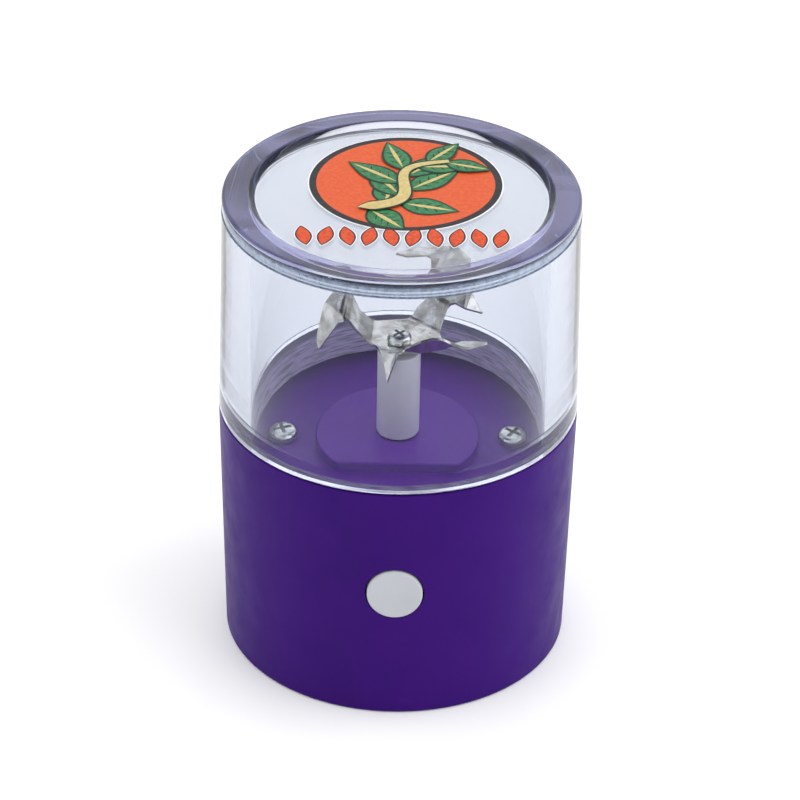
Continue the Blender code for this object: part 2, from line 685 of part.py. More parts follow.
def turned_mesh(name, profile_at, segments):
    """Turns a closed profile about Z. profile_at(angle) gives its (r, z) points at that angle.

    A profile that starts and ends on the axis is closed there with a flat cap at each end.
    """
    bm = bmesh.new()
    columns = []
    for i in range(segments):
        angle = 2 * math.pi * i / segments
        columns.append([bm.verts.new((*polar(r, angle), z)) for r, z in profile_at(angle) if r > 0])
    radii = [r for r, z in profile_at(0.0)]
    rows = sum(1 for r in radii if r > 0)
    caps = [sum(1 for r in radii[:i] if r > 0) for i, r in enumerate(radii) if r == 0]
    if caps:
        last = (caps[0] - 1) % rows
        bm.faces.new([column[last] for column in columns])
        bm.faces.new([column[(last + 1) % rows] for column in columns])
    for i in range(segments):
        here = columns[i]
        there = columns[(i + 1) % segments]
        for j in range(rows):
            if caps and j == last:
                continue
            k = (j + 1) % rows
            bm.faces.new((here[j], there[j], there[k], here[k]))
    return finish_mesh(name, bm)


def turned(name, profile, material, segments=ROUND_SEGMENTS, location=(0, 0, 0), rotation=(0, 0, 0)):
    mesh = turned_mesh(name, lambda angle: profile, segments)
    return add_object(name, mesh, material, location, rotation)


def tube(name, inner, outer, low, high, material, segments=ROUND_SEGMENTS, location=(0, 0, 0)):
    profile = [(inner, low), (outer, low), (outer, high), (inner, high)]
    return turned(name, profile, material, segments, location)


def rod(name, radius, low, high, material, segments=ROUND_SEGMENTS, location=(0, 0, 0), rotation=(0, 0, 0)):
    profile = [(0, low), (radius, low), (radius, high), (0, high)]
    return turned(name, profile, material, segments, location, rotation)


def extruded(name, outline, low, high, material, location=(0, 0, 0), rotation=(0, 0, 0)):
    """A closed outline of (x, y) points, made solid between two heights."""
    bm = bmesh.new()
    bottom = [bm.verts.new((x, y, low)) for x, y in outline]
    top = [bm.verts.new((x, y, high)) for x, y in outline]
    bm.faces.new(bottom)
    bm.faces.new(top)
    for i in range(len(outline)):
        j = (i + 1) % len(outline)
        bm.faces.new((bottom[i], bottom[j], top[j], top[i]))
    return add_object(name, finish_mesh(name, bm), material, location, rotation)


def box(name, low, high, material, bevel=0.0):
    """A box between two corners, with its edges rounded by the bevel."""
    center = [(a + b) / 2 for a, b in zip(low, high)]
    bm = bmesh.new()
    bmesh.ops.create_cube(bm, size=1.0)
    bmesh.ops.scale(bm, vec=[b - a for a, b in zip(low, high)], verts=bm.verts)
    obj = add_object(name, finish_mesh(name, bm, smooth=False), material, center)
    if bevel:
        modifier = obj.modifiers.new("edges", "BEVEL")
        modifier.width = bevel * MM
        modifier.segments = 2
    return obj


def boolean(target, tool, operation):
    tool.hide_render = True
    tool.display_type = "WIRE"
    modifier = target.modifiers.new(operation.lower(), "BOOLEAN")
    modifier.operation = operation
    modifier.object = tool


def cut(target, *tools):
    for tool in tools:
        boolean(target, tool, "DIFFERENCE")


def join(target, *tools):
    for tool in tools:
        boolean(target, tool, "UNION")


def flatted_circle(radius, flat, steps=12):
    """A circle cut off by two flats at y = -flat and y = +flat."""
    half_angle = math.asin(flat / radius)
    points = []
    for center in (0, math.pi):
        for i in range(steps + 1):
            angle = center - half_angle + 2 * half_angle * i / steps
            points.append(polar(radius, angle))
    return points


def rounded_rectangle(width, height, radius, center=(0, 0), steps=4):
    points = []
    for corner, (sx, sy) in enumerate(((1, 1), (-1, 1), (-1, -1), (1, -1))):
        cx = center[0] + sx * (width / 2 - radius)
        cy = center[1] + sy * (height / 2 - radius)
        for i in range(steps + 1):
            dx, dy = polar(radius, math.radians(90 * corner + 90 * i / steps))
            points.append((cx + dx, cy + dy))
    return points


def cross_outline(length, width):
    """A plus sign, as the recess of a cross-head screw."""
    a = length / 2
    b = width / 2
    quarter = [(a, -b), (a, b), (b, b)]
    points = []
    for turn in range(4):
        c = round(math.cos(turn * math.pi / 2))
        s = round(math.sin(turn * math.pi / 2))
        points.extend((c * x - s * y, s * x + c * y) for x, y in quarter)
    return points


# The screw thread between the cup and the base


def thread_rise(angle, z, low, high):
    """How far a rounded, right-hand, two-start thread stands out of its root at one place."""
    phase = THREAD_STARTS * (2 * math.pi * (z - low) / THREAD_LEAD - angle)
    run_out = min(1.0, (z - low) / 0.5, (high - z) / 0.5)
    return THREAD_DEPTH * run_out * (0.5 + 0.5 * math.cos(phase))


def thread_rows(root, angle, low, high, steps):
    heights = [low + (high - low) * i / steps for i in range(steps + 1)]
    return [(root + thread_rise(angle, z, low, high), z) for z in heights]


# The cup and what turns with it


def cup_profile(angle):
    """The cup's section: spigot and thread, shoulder, wall, flange, recessed top, and the bore."""
    root = SPIGOT_NECK_RADIUS - THREAD_DEPTH
    flange_bottom = TOTAL_HEIGHT - FLANGE_HEIGHT
    recess_z = TOTAL_HEIGHT - RECESS_DEPTH
    lid_underside = recess_z - LID_THICKNESS
    edge = 0.8
    bore_fillet = 1.0
    points = [(BORE_RADIUS + 0.2, SPIGOT_BOTTOM), (root - 0.2, SPIGOT_BOTTOM)]
    points += thread_rows(root, angle, SPIGOT_BOTTOM + 0.3, 45.0, 12)
    points += [(SPIGOT_NECK_RADIUS, 45.3), (SPIGOT_NECK_RADIUS, SHOULDER_Z)]
    points += [(JOINT_RADIUS - 0.2, SHOULDER_Z), (JOINT_RADIUS, SHOULDER_Z + 0.2)]
    points += [(WALL_TOP_RADIUS, flange_bottom - 0.6), (NECK_GROOVE_RADIUS, flange_bottom - 0.4)]
    points += [(NECK_GROOVE_RADIUS, flange_bottom - 0.1), (FLANGE_RADIUS, flange_bottom + 0.25)]
    points += arc(FLANGE_RADIUS - edge, TOTAL_HEIGHT - edge, edge, 0, 90, 4)
    points += [(RIM_FLAT_RADIUS, TOTAL_HEIGHT), (RECESS_RADIUS + 0.35, TOTAL_HEIGHT - 0.5)]
    points += [(RECESS_RADIUS, recess_z), (0, recess_z), (0, lid_underside)]
    points += arc(BORE_RADIUS - bore_fillet, lid_underside - bore_fillet, bore_fillet, 90, 0, 3)
    points += [(BORE_RADIUS, SPIGOT_BOTTOM + 0.2)]
    return points


def build_clear_cup(materials):
    mesh = turned_mesh("clear_cup", cup_profile, FINE_SEGMENTS)
    add_object("clear_cup", mesh, materials["clear"])


def label_outline(disc_center_y, disc_radius, strip_width, strip_top, strip_bottom):
    """A round label and a short strip under it, cut as one outline."""
    points = []
    half = strip_width / 2
    corner = 1.0
    reach = math.sqrt(disc_radius**2 - (strip_top - disc_center_y) ** 2)
    first = math.atan2(strip_top - disc_center_y, reach)
    last = math.pi - first
    steps = 32
    for i in range(steps + 1):
        x, y = polar(disc_radius, first + (last - first) * i / steps)
        points.append((x, disc_center_y + y))
    points += [(-half + corner, strip_top), (-half, strip_top - corner)]
    points += [(-half, strip_bottom + corner), (-half + corner, strip_bottom)]
    points += [(half - corner, strip_bottom), (half, strip_bottom + corner)]
    points += [(half, strip_top - corner), (half - corner, strip_top)]
    return points


def build_top_label(materials):
    outline = label_outline(
        disc_center_y=4.2, disc_radius=16.8, strip_width=36.4, strip_top=-11.3, strip_bottom=-17.7
    )
    low = TOTAL_HEIGHT - RECESS_DEPTH + CLEARANCE
    extruded("top_label", outline, low, low + 0.2, materials["label"])


def build_cup_seal(materials):
    """A flat ring in the rebate of the base's rim, under the cup's shoulder."""
    inner = SPIGOT_NECK_RADIUS + CLEARANCE
    outer = SEAL_REBATE_RADIUS - CLEARANCE
    low = SEAL_REBATE_Z + CLEARANCE
    tube("cup_seal", inner, outer, low, SHOULDER_Z - CLEARANCE, materials["seal"], FINE_SEGMENTS)


# The base


def shell_profile(angle):
    """The shell's section: underside, outer wall, rim, threaded well, ledge and floor."""
    foot_ring = 27.5
    draft_top = JOINT_RADIUS - 0.05
    points = [(0, UNDERSIDE_RECESS), (foot_ring, UNDERSIDE_RECESS), (foot_ring + 0.4, 0)]
    points += arc(FOOT_RADIUS - 0.6, 0.6, 0.6, -90, 0, 3)
    points += [(draft_top, RIM_Z - 0.35), (draft_top - 0.2, RIM_Z), (SEAL_REBATE_RADIUS, RIM_Z)]
    points += [(SEAL_REBATE_RADIUS, SEAL_REBATE_Z), (WELL_RADIUS, SEAL_REBATE_Z)]
    points += reversed(thread_rows(WELL_RADIUS, angle, SPIGOT_BOTTOM + 0.1, 44.8, 12))
    points += [(WELL_RADIUS, LEDGE_Z), (WALL_INNER_RADIUS, LEDGE_Z)]
    points += [(WALL_INNER_RADIUS, FLOOR_TOP), (0, FLOOR_TOP)]
    return points


def screw_post(side):
    """A post from the floor to the deck, with the pilot hole that its screw cuts into."""
    x = side * DECK_SCREW_X
    post = rod("post_tool", 3.2, FLOOR_TOP - 1, LEDGE_Z, None, 16, (x, 0, 0))
    hole = rod("pilot_tool", 1.5, 24, LEDGE_Z + 1, None, 16, (x, 0, 0))
    return post, hole


def motor_cradle(side):
    """A curved rib on the floor, which holds the motor's lower end."""
    outline = []
    spread = math.radians(38)
    middle = 0 if side > 0 else math.pi
    for radius, direction in ((12.6, -1), (14.4, 1)):
        for i in range(9):
            angle = middle + direction * spread * (1 - 2 * i / 8)
            outline.append(polar(radius, angle))
    return extruded("cradle_tool", outline, FLOOR_TOP - 1, 14, None)


def build_base_shell(materials):
    mesh = turned_mesh("base_shell", shell_profile, FINE_SEGMENTS)
    shell = add_object("base_shell", mesh, materials["purple"])
    for side in (-1, 1):
        post, hole = screw_post(side)
        join(shell, post, motor_cradle(side))
        cut(shell, hole)
        board_rib = box(
            "board_rib_tool", (side * 10.4 - 1.1, -20.4, FLOOR_TOP - 1), (side * 10.4 + 1.1, -16.2, 33), None
        )
        peg = rod("peg_tool", 1.4, FLOOR_TOP - 1, 4.9, None, 12, (side * 5.5, 20.6, 0))
        join(shell, board_rib, peg)
    button_hole = rod("button_hole_tool", BUTTON_RADIUS + CLEARANCE, 25, 34, None, 32, (0, 0, BUTTON_Z), FACING_FRONT)
    slot = rounded_rectangle(SOCKET_WIDTH + 0.8, SOCKET_HEIGHT + 0.8, 1.9)
    socket_hole = extruded("socket_hole_tool", slot, 26, 34, None, (0, 0, SOCKET_Z), FACING_BACK)
    cut(shell, button_hole, socket_hole)


def boss_outline(steps=28):
    """A circle with one flat, which faces the button."""
    corner = math.asin(BOSS_FLAT / BOSS_RADIUS)
    sweep = math.pi + 2 * corner
    return [polar(BOSS_RADIUS, sweep * i / steps - corner) for i in range(steps + 1)]


def build_deck_plate(materials):
    """The disc over the motor, with a raised round boss that has one flat."""
    underside = DECK_TOP - DECK_THICKNESS
    profile = [(0, underside), (DECK_RADIUS - 0.3, underside), (DECK_RADIUS, underside + 0.3)]
    profile += [(DECK_RADIUS, DECK_TOP - 0.2), (DECK_RADIUS - 0.2, DECK_TOP), (0, DECK_TOP)]
    deck = turned("deck_plate", profile, materials["deck"], FINE_SEGMENTS)
    boss = extruded("boss_tool", boss_outline(), underside + 0.5, BOSS_TOP, None)
    edge = boss.modifiers.new("edges", "BEVEL")
    edge.width = 0.35 * MM
    edge.segments = 2
    edge.limit_method = "ANGLE"
    pocket_outline = flatted_circle(MOTOR_RADIUS + CLEARANCE, MOTOR_FLAT + CLEARANCE)
    pocket = extruded("pocket_tool", pocket_outline, underside - 1, MOTOR_TOP + CLEARANCE, None)
    join(deck, boss)
    cut(deck, pocket, rod("shaft_hole_tool", 3.35, underside, BOSS_TOP + 1, None, 24))
    for side in (-1, 1):
        cut(deck, rod("screw_hole_tool", 1.6, underside - 1, BOSS_TOP + 1, None, 16, (side * DECK_SCREW_X, 0, 0)))


def build_pan_screw(name, head_radius, head_height, shank_radius, shank_length, seat_z, x, material):
    """A cross-head pan screw whose head rests at seat_z."""
    profile = [(0, -shank_length), (shank_radius * 0.5, -shank_length), (shank_radius, 0.8 - shank_length)]
    profile += [(shank_radius, 0), (head_radius, 0), (head_radius, head_height * 0.4)]
    profile += [(head_radius * 0.88, head_height * 0.76), (head_radius * 0.6, head_height)]
    profile += [(0, head_height)]
    screw = turned(name, profile, material, ROUND_SEGMENTS, (x, 0, seat_z))
    recess = extruded(
        "recess_tool", cross_outline(head_radius * 1.15, head_radius * 0.3), head_height * 0.35,
        head_height + 1, None, (x, 0, seat_z), (0, 0, math.radians(30)),
    )
    cut(screw, recess)


def build_deck_screws(materials):
    for name, side in (("deck_screw_left", -1), ("deck_screw_right", 1)):
        seat = DECK_TOP + CLEARANCE
        build_pan_screw(name, 2.65, 1.6, 1.2, 13.5, seat, side * DECK_SCREW_X, materials["zinc"])


# The blade and its drive


def build_shaft_sleeve(materials):
    """The plastic sleeve pressed on the motor shaft; its upper hole takes the blade's screw."""
    shaft_bore = SHAFT_RADIUS + CLEARANCE
    screw_bore = 1.4
    profile = [(shaft_bore, SLEEVE_BOTTOM), (SLEEVE_RADIUS - 0.3, SLEEVE_BOTTOM)]
    profile += [(SLEEVE_RADIUS, SLEEVE_BOTTOM + 0.3), (SLEEVE_RADIUS, SLEEVE_TOP - 0.3)]
    profile += [(SLEEVE_RADIUS - 0.3, SLEEVE_TOP), (screw_bore, SLEEVE_TOP), (screw_bore, 50.5)]
    profile += [(0, 50.5), (0, 49.5), (shaft_bore, 49.5)]
    turned("shaft_sleeve", profile, materials["white"], 32)


def build_blade_screw(materials):
    seat = BLADE_Z + BLADE_THICKNESS / 2 + CLEARANCE
    build_pan_screw("blade_screw", 2.15, 1.5, 1.0, 7.0, seat, 0, materials["zinc"])


def build_blade_washer(materials):
    """A split spring washer under the blade, closed by a narrow gap at one side."""
    inner = 1.35
    outer = 2.6
    half_gap = math.radians(9)
    steps = 20
    outline = []
    for radius, direction in ((inner, -1), (outer, 1)):
        for i in range(steps + 1):
            angle = math.pi / 2 + math.pi + direction * (math.pi - half_gap) * (2 * i / steps - 1)
            outline.append(polar(radius, angle))
    low = SLEEVE_TOP + CLEARANCE
    extruded("blade_washer", outline, low, BLADE_Z - BLADE_THICKNESS / 2 - CLEARANCE, materials["zinc"])


# Each arm of the blade: its direction, its rows of (distance, half width, height) from the hub
# outward, and the faces of its end, as lists of corners (distance, offset to the left, height).
# In an end, "R" and "L" stand for the right and left corners of the last row.
BLADE_ARMS = (
    {
        "direction": 50,
        "rows": ((3.0, 2.7, 0), (5.2, 2.65, 0.1), (7.0, 2.6, 1.4), (9.5, 2.6, 3.9), (11.6, 2.8, 5.9)),
        "end": (
            ("R", (17.2, -2.1, 6.0), (15.5, 6.2, 6.2), "L"),
            ("L", (15.5, 6.2, 6.2), (9.8, 9.4, 6.0)),
            ((17.2, -2.1, 6.0), "R", (16.0, -5.9, 1.4)),
        ),
    },
    {
        "direction": 155,
        "rows": ((3.0, 2.7, 0), (5.2, 2.65, 0.1), (7.0, 2.6, 1.3), (9.5, 2.6, 3.8), (11.0, 2.8, 5.5)),
        "end": (
            ("R", (14.2, -2.4, 6.1), (13.8, 2.6, 6.0), "L"),
            ("L", (13.8, 2.6, 6.0), (13.2, 6.2, 3.9), (10.9, 9.9, 1.0)),
        ),
    },
    {
        "direction": -110,
        "rows": ((3.0, 1.5, 0), (4.3, 1.2, -0.3), (5.0, 0.75, -1.4), (5.3, 0.6, -3.0)),
        "end": (("R", (5.4, 0, -4.8), "L"),),
    },
    {
        "direction": -37,
        "rows": ((3.0, 2.5, 0), (4.6, 2.5, 1.7), (8.0, 2.4, 3.0), (10.5, 2.3, 3.0)),
        "end": (("R", (14.2, -0.6, 4.2), (14.5, 2.9, 4.4), "L"), ((14.2, -0.6, 4.2), (17.5, 2.0, 5.8), (14.5, 2.9, 4.4))),
    },
)


def build_blade(materials):
    """A stamped steel sheet: a hub with a hole, and four arms bent to different heights."""
    bm = bmesh.new()
    known = {}

    def corner(direction, distance, offset, height):
        turn = Matrix.Rotation(math.radians(direction), 3, "Z")
        point = turn @ Vector((distance, offset, height))
        key = tuple(round(value, 4) for value in point)
        if key not in known:
            known[key] = bm.verts.new(point)
        return known[key]

    hub = []
    for arm in BLADE_ARMS:
        rows = [
            (corner(arm["direction"], r, -half, z), corner(arm["direction"], r, half, z))
            for r, half, z in arm["rows"]
        ]
        hub.extend(rows[0])
        for (right, left), (next_right, next_left) in zip(rows, rows[1:]):
            bm.faces.new((right, next_right, next_left, left))
        ends = {"R": rows[-1][0], "L": rows[-1][1]}
        for face in arm["end"]:
            bm.faces.new([ends[p] if p in ends else corner(arm["direction"], *p) for p in face])

    hole = [bm.verts.new((*polar(1.35, math.atan2(v.co.y, v.co.x)), 0)) for v in hub]
    for i in range(len(hub)):
        j = (i + 1) % len(hub)
        bm.faces.new((hole[i], hub[i], hub[j], hole[j]))
    mesh = finish_mesh("blade", bm, smooth=False)
    blade = add_object("blade", mesh, materials["steel"], (0, 0, BLADE_Z))
    sheet = blade.modifiers.new("sheet", "SOLIDIFY")
    sheet.thickness = BLADE_THICKNESS * MM
    sheet.offset = 0


# The motor


def build_motor_can(materials):
    outer = flatted_circle(MOTOR_RADIUS, MOTOR_FLAT)
    can = extruded("motor_can", outer, MOTOR_CAN_BOTTOM, MOTOR_TOP, materials["can"])
    inner = flatted_circle(MOTOR_RADIUS - MOTOR_WALL, MOTOR_FLAT - MOTOR_WALL)
    join(can, rod("bearing_boss_tool", 3.0, MOTOR_TOP - 0.5, MOTOR_TOP + 1.3, None))
    cut(can, extruded("can_hollow_tool", inner, MOTOR_CAN_BOTTOM - 1, MOTOR_TOP - MOTOR_WALL, None))
    cut(can, rod("can_bore_tool", 2.3, MOTOR_TOP - 2, MOTOR_TOP + 2, None))


def build_motor_end_cap(materials):
    outer = flatted_circle(MOTOR_RADIUS, MOTOR_FLAT)
    cap = extruded("motor_end_cap", outer, 7.4, MOTOR_CAN_BOTTOM - CLEARANCE, materials["nylon"])
    inset = MOTOR_WALL + CLEARANCE
    plug = flatted_circle(MOTOR_RADIUS - inset, MOTOR_FLAT - inset)
    join(cap, extruded("plug_tool", plug, 8.5, 10.3, None))
    cut(cap, rod("cap_bore_tool", 2.3, 6, 11, None))
    for side in (-1, 1):
        cut(cap, box("terminal_slot_tool", (side * 7 - 1.5, -0.6, 6), (side * 7 + 1.5, 0.6, 11), None))


def build_motor_bushes(materials):
    front = MOTOR_TOP - 0.6
    for name, low, high in (("motor_bush_front", front, front + 1.8), ("motor_bush_rear", 7.6, 10.0)):
        tube(name, 1.15, 2.0, low, high, materials["bronze"])


def build_motor_magnets(materials):
    """Two curved magnets on the round sides of the can."""
    spread = math.radians(46)
    steps = 10
    for name, middle in (("motor_magnet_right", 0), ("motor_magnet_left", math.pi)):
        outline = []
        for radius, direction in ((8.5, -1), (10.9, 1)):
            for i in range(steps + 1):
                outline.append(polar(radius, middle + direction * spread * (1 - 2 * i / steps)))
        extruded(name, outline, 13.5, 33.5, materials["ferrite"])


def build_motor_contacts(materials):
    """The brass terminals, and the carbon brushes that bear on the commutator."""
    for name, side in (("left", -1), ("right", 1)):
        low = (side * 7 - 1.2, -0.3, 4.4)
        high = (side * 7 + 1.2, 0.3, 11.3)
        box(f"motor_terminal_{name}", low, high, materials["brass"])
        near, far = sorted((side * 2.85, side * 6.4))
        box(f"motor_brush_{name}", (near, -1.0, 11.8), (far, 1.0, 13.8), materials["carbon"])


def build_motor_shaft(materials):
    rod("motor_shaft", SHAFT_RADIUS, 7.8, 49.0, materials["steel"])


def build_commutator(materials):
    tube("commutator", SHAFT_RADIUS + CLEARANCE, 2.5, 11.6, 14.2, materials["copper"])


def build_armature_core(materials):
    """A stack of laminations with three wound poles, each ending in a curved shoe."""
    arm_half = 1.3
    root = 3.0
    shoe_inner = 6.8
    shoe_outer = 7.9
    shoe_spread = math.radians(48)
    steps = 8
    outline = []
    for pole in range(POLE_COUNT):
        middle = 2 * math.pi * pole / POLE_COUNT
        right = [(root, -arm_half), (shoe_inner, -arm_half), polar(shoe_inner, -shoe_spread)]
        shoe = [polar(shoe_outer, shoe_spread * (2 * i / steps - 1)) for i in range(steps + 1)]
        left = [(x, -y) for x, y in reversed(right)]
        for x, y in right + shoe + left:
            point = Matrix.Rotation(middle, 2) @ Vector((x, y))
            outline.append((point.x, point.y))
    core = extruded("armature_core", outline, 16, 30, materials["core"])
    cut(core, rod("core_bore_tool", SHAFT_RADIUS + CLEARANCE, 15, 31, None))


def build_armature_coils(materials):
    """One coil round each pole, as a block with a window."""
    for pole in range(POLE_COUNT):
        window = rounded_rectangle(3.2, 14.6, 0.4, steps=1)
        outline = rounded_rectangle(6.0, 17.0, 1.3, steps=3)
        place = (0, 0, 23)
        facing = (math.radians(90), 0, math.radians(90 + 360 * pole / POLE_COUNT))
        coil = extruded(f"armature_coil_{pole + 1}", outline, 3.4, 5.3, materials["copper"], place, facing)
        cut(coil, extruded("window_tool", window, 3, 7, None, place, facing))


# The button and its switch


def build_power_button(materials):
    """A round cap with a retaining flange behind the wall and a stem that reaches the switch."""
    edge = 0.35
    profile = [(0, 24.2), (1.6, 24.2), (1.6, 26.4), (6.0, 26.4), (6.0, 27.2), (BUTTON_RADIUS, 27.2)]
    profile += [(BUTTON_RADIUS, BUTTON_FACE - edge)]
    profile += [(BUTTON_RADIUS - 0.12, BUTTON_FACE - 0.1), (BUTTON_RADIUS - edge, BUTTON_FACE)]
    profile += [(BUTTON_RADIUS - 1.2, BUTTON_FACE - 0.1), (0, BUTTON_FACE - 0.1)]
    turned("power_button", profile, materials["button"], 32, (0, 0, BUTTON_Z), FACING_FRONT)


def build_switch(materials):
    place = (0, 0, BUTTON_Z)
    body = extruded(
        "switch_body", rounded_rectangle(6.2, 6.2, 0.5, steps=1), 19.2, 22.9, materials["switch"], place,
        FACING_FRONT,
    )
    cut(body, rod("plunger_well_tool", 2.05, 21.6, 24, None, 20, place, FACING_FRONT))
    rod("switch_plunger", 1.75, 22.25, 23.9, materials["nylon"], 20, place, FACING_FRONT)


def build_switch_board(materials):
    box("switch_board", (-9.0, -18.9, 15), (9.0, -17.7, 35.5), materials["board"])


# The power supply


def build_battery(materials):
    box("battery_pack", (-14, 10.6, 3.0), (14, 18.2, 34), materials["pouch"], bevel=1.4)


def build_charge_board(materials):
    board_top = 6.4
    box("charge_board", (-8, 18.8, 5.2), (8, 26.4, board_top), materials["board"])
    box("charge_chip", (-7.2, 19.4, board_top + CLEARANCE), (-2.3, 21.6, board_top + 1.7), materials["chip"])
    box("charge_led", (6.0, 23.6, board_top + CLEARANCE), (7.2, 25.2, board_top + 1.1), materials["led"])


def build_charge_socket(materials):
    """The metal shell of the charging socket, open towards the back, with its plastic tongue."""
    place = (0, 0, SOCKET_Z)
    outline = rounded_rectangle(SOCKET_WIDTH, SOCKET_HEIGHT, 1.45)
    wall = 0.35
    mouth = rounded_rectangle(SOCKET_WIDTH - 2 * wall, SOCKET_HEIGHT - 2 * wall, 1.1)
    shell = extruded("charge_socket", outline, 22.3, 29.6, materials["zinc"], place, FACING_BACK)
    cut(shell, extruded("mouth_tool", mouth, 22.8, 31, None, place, FACING_BACK))
    tongue = rounded_rectangle(6.7, 0.7, 0.2, steps=1)
    extruded("socket_tongue", tongue, 23.1, 28.9, materials["chip"], place, FACING_BACK)


def smooth_route(points, per_span):
    """Points along a Catmull-Rom curve through the route's own points."""
    padded = [points[0], *points, points[-1]]
    route = []
    for p0, p1, p2, p3 in zip(padded, padded[1:], padded[2:], padded[3:]):
        for step in range(per_span):
            t = step / per_span
            a = 2 * p1
            b = (p2 - p0) * t
            c = (2 * p0 - 5 * p1 + 4 * p2 - p3) * t**2
            d = (3 * p1 - p0 - 3 * p2 + p3) * t**3
            route.append((a + b + c + d) / 2)
    return [*route, points[-1]]


def build_lead(name, points, material):
    """An insulated lead, as a round tube along its route."""
    route = smooth_route([Vector(p) for p in points], 3)
    curve = bpy.data.curves.new(name, "CURVE")
    curve.dimensions = "3D"
    curve.bevel_depth = LEAD_RADIUS * MM
    curve.bevel_resolution = 1
    curve.use_fill_caps = True
    spline = curve.splines.new("POLY")
    spline.points.add(len(route) - 1)
    for place, point in zip(spline.points, route):
        place.co = (*(point * MM), 1.0)
    add_object(name, curve, material)


def build_leads(materials):
    for name, side, color in (("negative", -1, "lead_black"), ("positive", 1, "lead_red")):
        motor_route = (
            (side * 6.6, -1.2, 5.6), (side * 6.2, -4.0, 4.0), (side * 5.4, -10.0, 4.0),
            (side * 4.8, -14.4, 6.5), (side * 4.4, -15.6, 11.0), (side * 4.0, -16.2, 16.5),
            (side * 4.0, -16.9, 19.0),
        )
        build_lead(f"motor_lead_{name}", motor_route, materials[color])
        battery_route = (
            (side * 4.0, 15.0, 34.9), (side * 4.0, 18.0, 35.0), (side * 4.1, 20.2, 32.0),
            (side * 4.2, 20.6, 24.0), (side * 4.2, 20.4, 15.0), (side * 4.0, 20.6, 11.5),
            (side * 1.0, 20.8, 9.0), (side * 0.8, 20.9, 7.3),
        )
        build_lead(f"battery_lead_{name}", battery_route, materials[color])
        link_route = (
            (side * 7.3, 22.6, 7.3), (side * 9.6, 22.4, 7.2), (side * 15.0, 20.6, 5.0),
            (side * 21.6, 13.6, 4.4), (side * 25.4, 4.0, 4.4), (side * 25.2, -6.0, 4.4),
            (side * 20.6, -14.6, 5.0), (side * 14.6, -16.6, 9.0), (side * 12.6, -14.6, 14.0),
            (side * 8.0, -15.4, 16.0), (side * 7.0, -16.9, 18.0),
        )
        build_lead(f"supply_lead_{name}", link_route, materials[color])


def build_all():
    clear_scene()
    materials = make_materials()
    builders = (
        build_clear_cup, build_top_label, build_cup_seal,
        build_base_shell, build_deck_plate, build_deck_screws,
        build_shaft_sleeve, build_blade, build_blade_washer, build_blade_screw,
        build_motor_can, build_motor_end_cap, build_motor_bushes, build_motor_magnets,
        build_motor_contacts, build_motor_shaft, build_commutator, build_armature_core,
        build_armature_coils, build_power_button, build_switch, build_switch_board,
        build_battery, build_charge_board, build_charge_socket, build_leads,
    )
    for build in builders:
        build(materials)


build_all()
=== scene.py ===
"""Looks of the herb grinder: fine surfaces, materials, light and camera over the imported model.

Lengths in the shape code are in millimetres, and MM turns them into metres when a mesh is made.
Z is up, the push button faces -Y, and the charging socket faces +Y.
"""

import math

import bmesh
import bpy
from mathutils import Matrix, Vector


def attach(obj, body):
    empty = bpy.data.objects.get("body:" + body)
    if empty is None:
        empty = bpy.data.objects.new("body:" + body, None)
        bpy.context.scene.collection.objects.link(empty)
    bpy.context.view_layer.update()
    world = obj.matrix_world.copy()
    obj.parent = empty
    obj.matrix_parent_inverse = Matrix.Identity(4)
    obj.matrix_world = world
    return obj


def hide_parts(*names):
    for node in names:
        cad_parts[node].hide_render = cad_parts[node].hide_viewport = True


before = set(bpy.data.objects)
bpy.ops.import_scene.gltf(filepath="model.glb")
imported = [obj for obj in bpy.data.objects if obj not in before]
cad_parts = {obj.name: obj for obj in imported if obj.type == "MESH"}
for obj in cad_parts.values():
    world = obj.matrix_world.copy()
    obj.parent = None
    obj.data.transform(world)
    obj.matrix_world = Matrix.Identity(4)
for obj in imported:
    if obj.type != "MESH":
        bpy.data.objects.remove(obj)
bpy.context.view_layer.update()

MM = 0.001
CLEARANCE = 0.3

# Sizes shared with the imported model
TOTAL_HEIGHT = 87.24
JOINT_RADIUS = 31.5
FOOT_RADIUS = 30.5
RIM_Z = 46.2
SHOULDER_Z = 46.5
BORE_RADIUS = 26.2
SPIGOT_BOTTOM = 40.1
SPIGOT_NECK_RADIUS = 29.4
WELL_RADIUS = 29.7
THREAD_DEPTH = 0.5
THREAD_LEAD = 3.0
THREAD_STARTS = 2
FLANGE_RADIUS = 30.67
RECESS_Z = TOTAL_HEIGHT - 0.95
RECESS_RADIUS = 25.0
LID_UNDERSIDE = 83.69
LEDGE_Z = 36.2
DECK_TOP = 38.3
DECK_THICKNESS = 1.8
BOSS_RADIUS = 14.6
BOSS_FLAT = 10.4
BOSS_TOP = 40.1
DECK_SCREW_X = 20.8
SLEEVE_BOTTOM = 40.4
SLEEVE_TOP = 56.7
SLEEVE_RADIUS = 3.8
BUTTON_Z = 25.8
BUTTON_RADIUS = 4.8
BUTTON_FACE = 31.45
SOCKET_Z = 8.3
BLADE_Z = 57.95
BLADE_SHEET = 0.5
BLADE_HOLE_RADIUS = 1.35
LABEL_Z = RECESS_Z + CLEARANCE

FACING_FRONT = Matrix.Rotation(math.radians(90), 4, "X")
FACING_BACK = Matrix.Rotation(math.radians(180), 4, "Z") @ FACING_FRONT


# Shape helpers


def polar(radius, angle):
    return radius * math.cos(angle), radius * math.sin(angle)


def arc(center_r, center_z, radius, start_deg, end_deg, steps):
    points = []
    for i in range(steps + 1):
        angle = math.radians(start_deg + (end_deg - start_deg) * i / steps)
        points.append((center_r + radius * math.cos(angle), center_z + radius * math.sin(angle)))
    return points


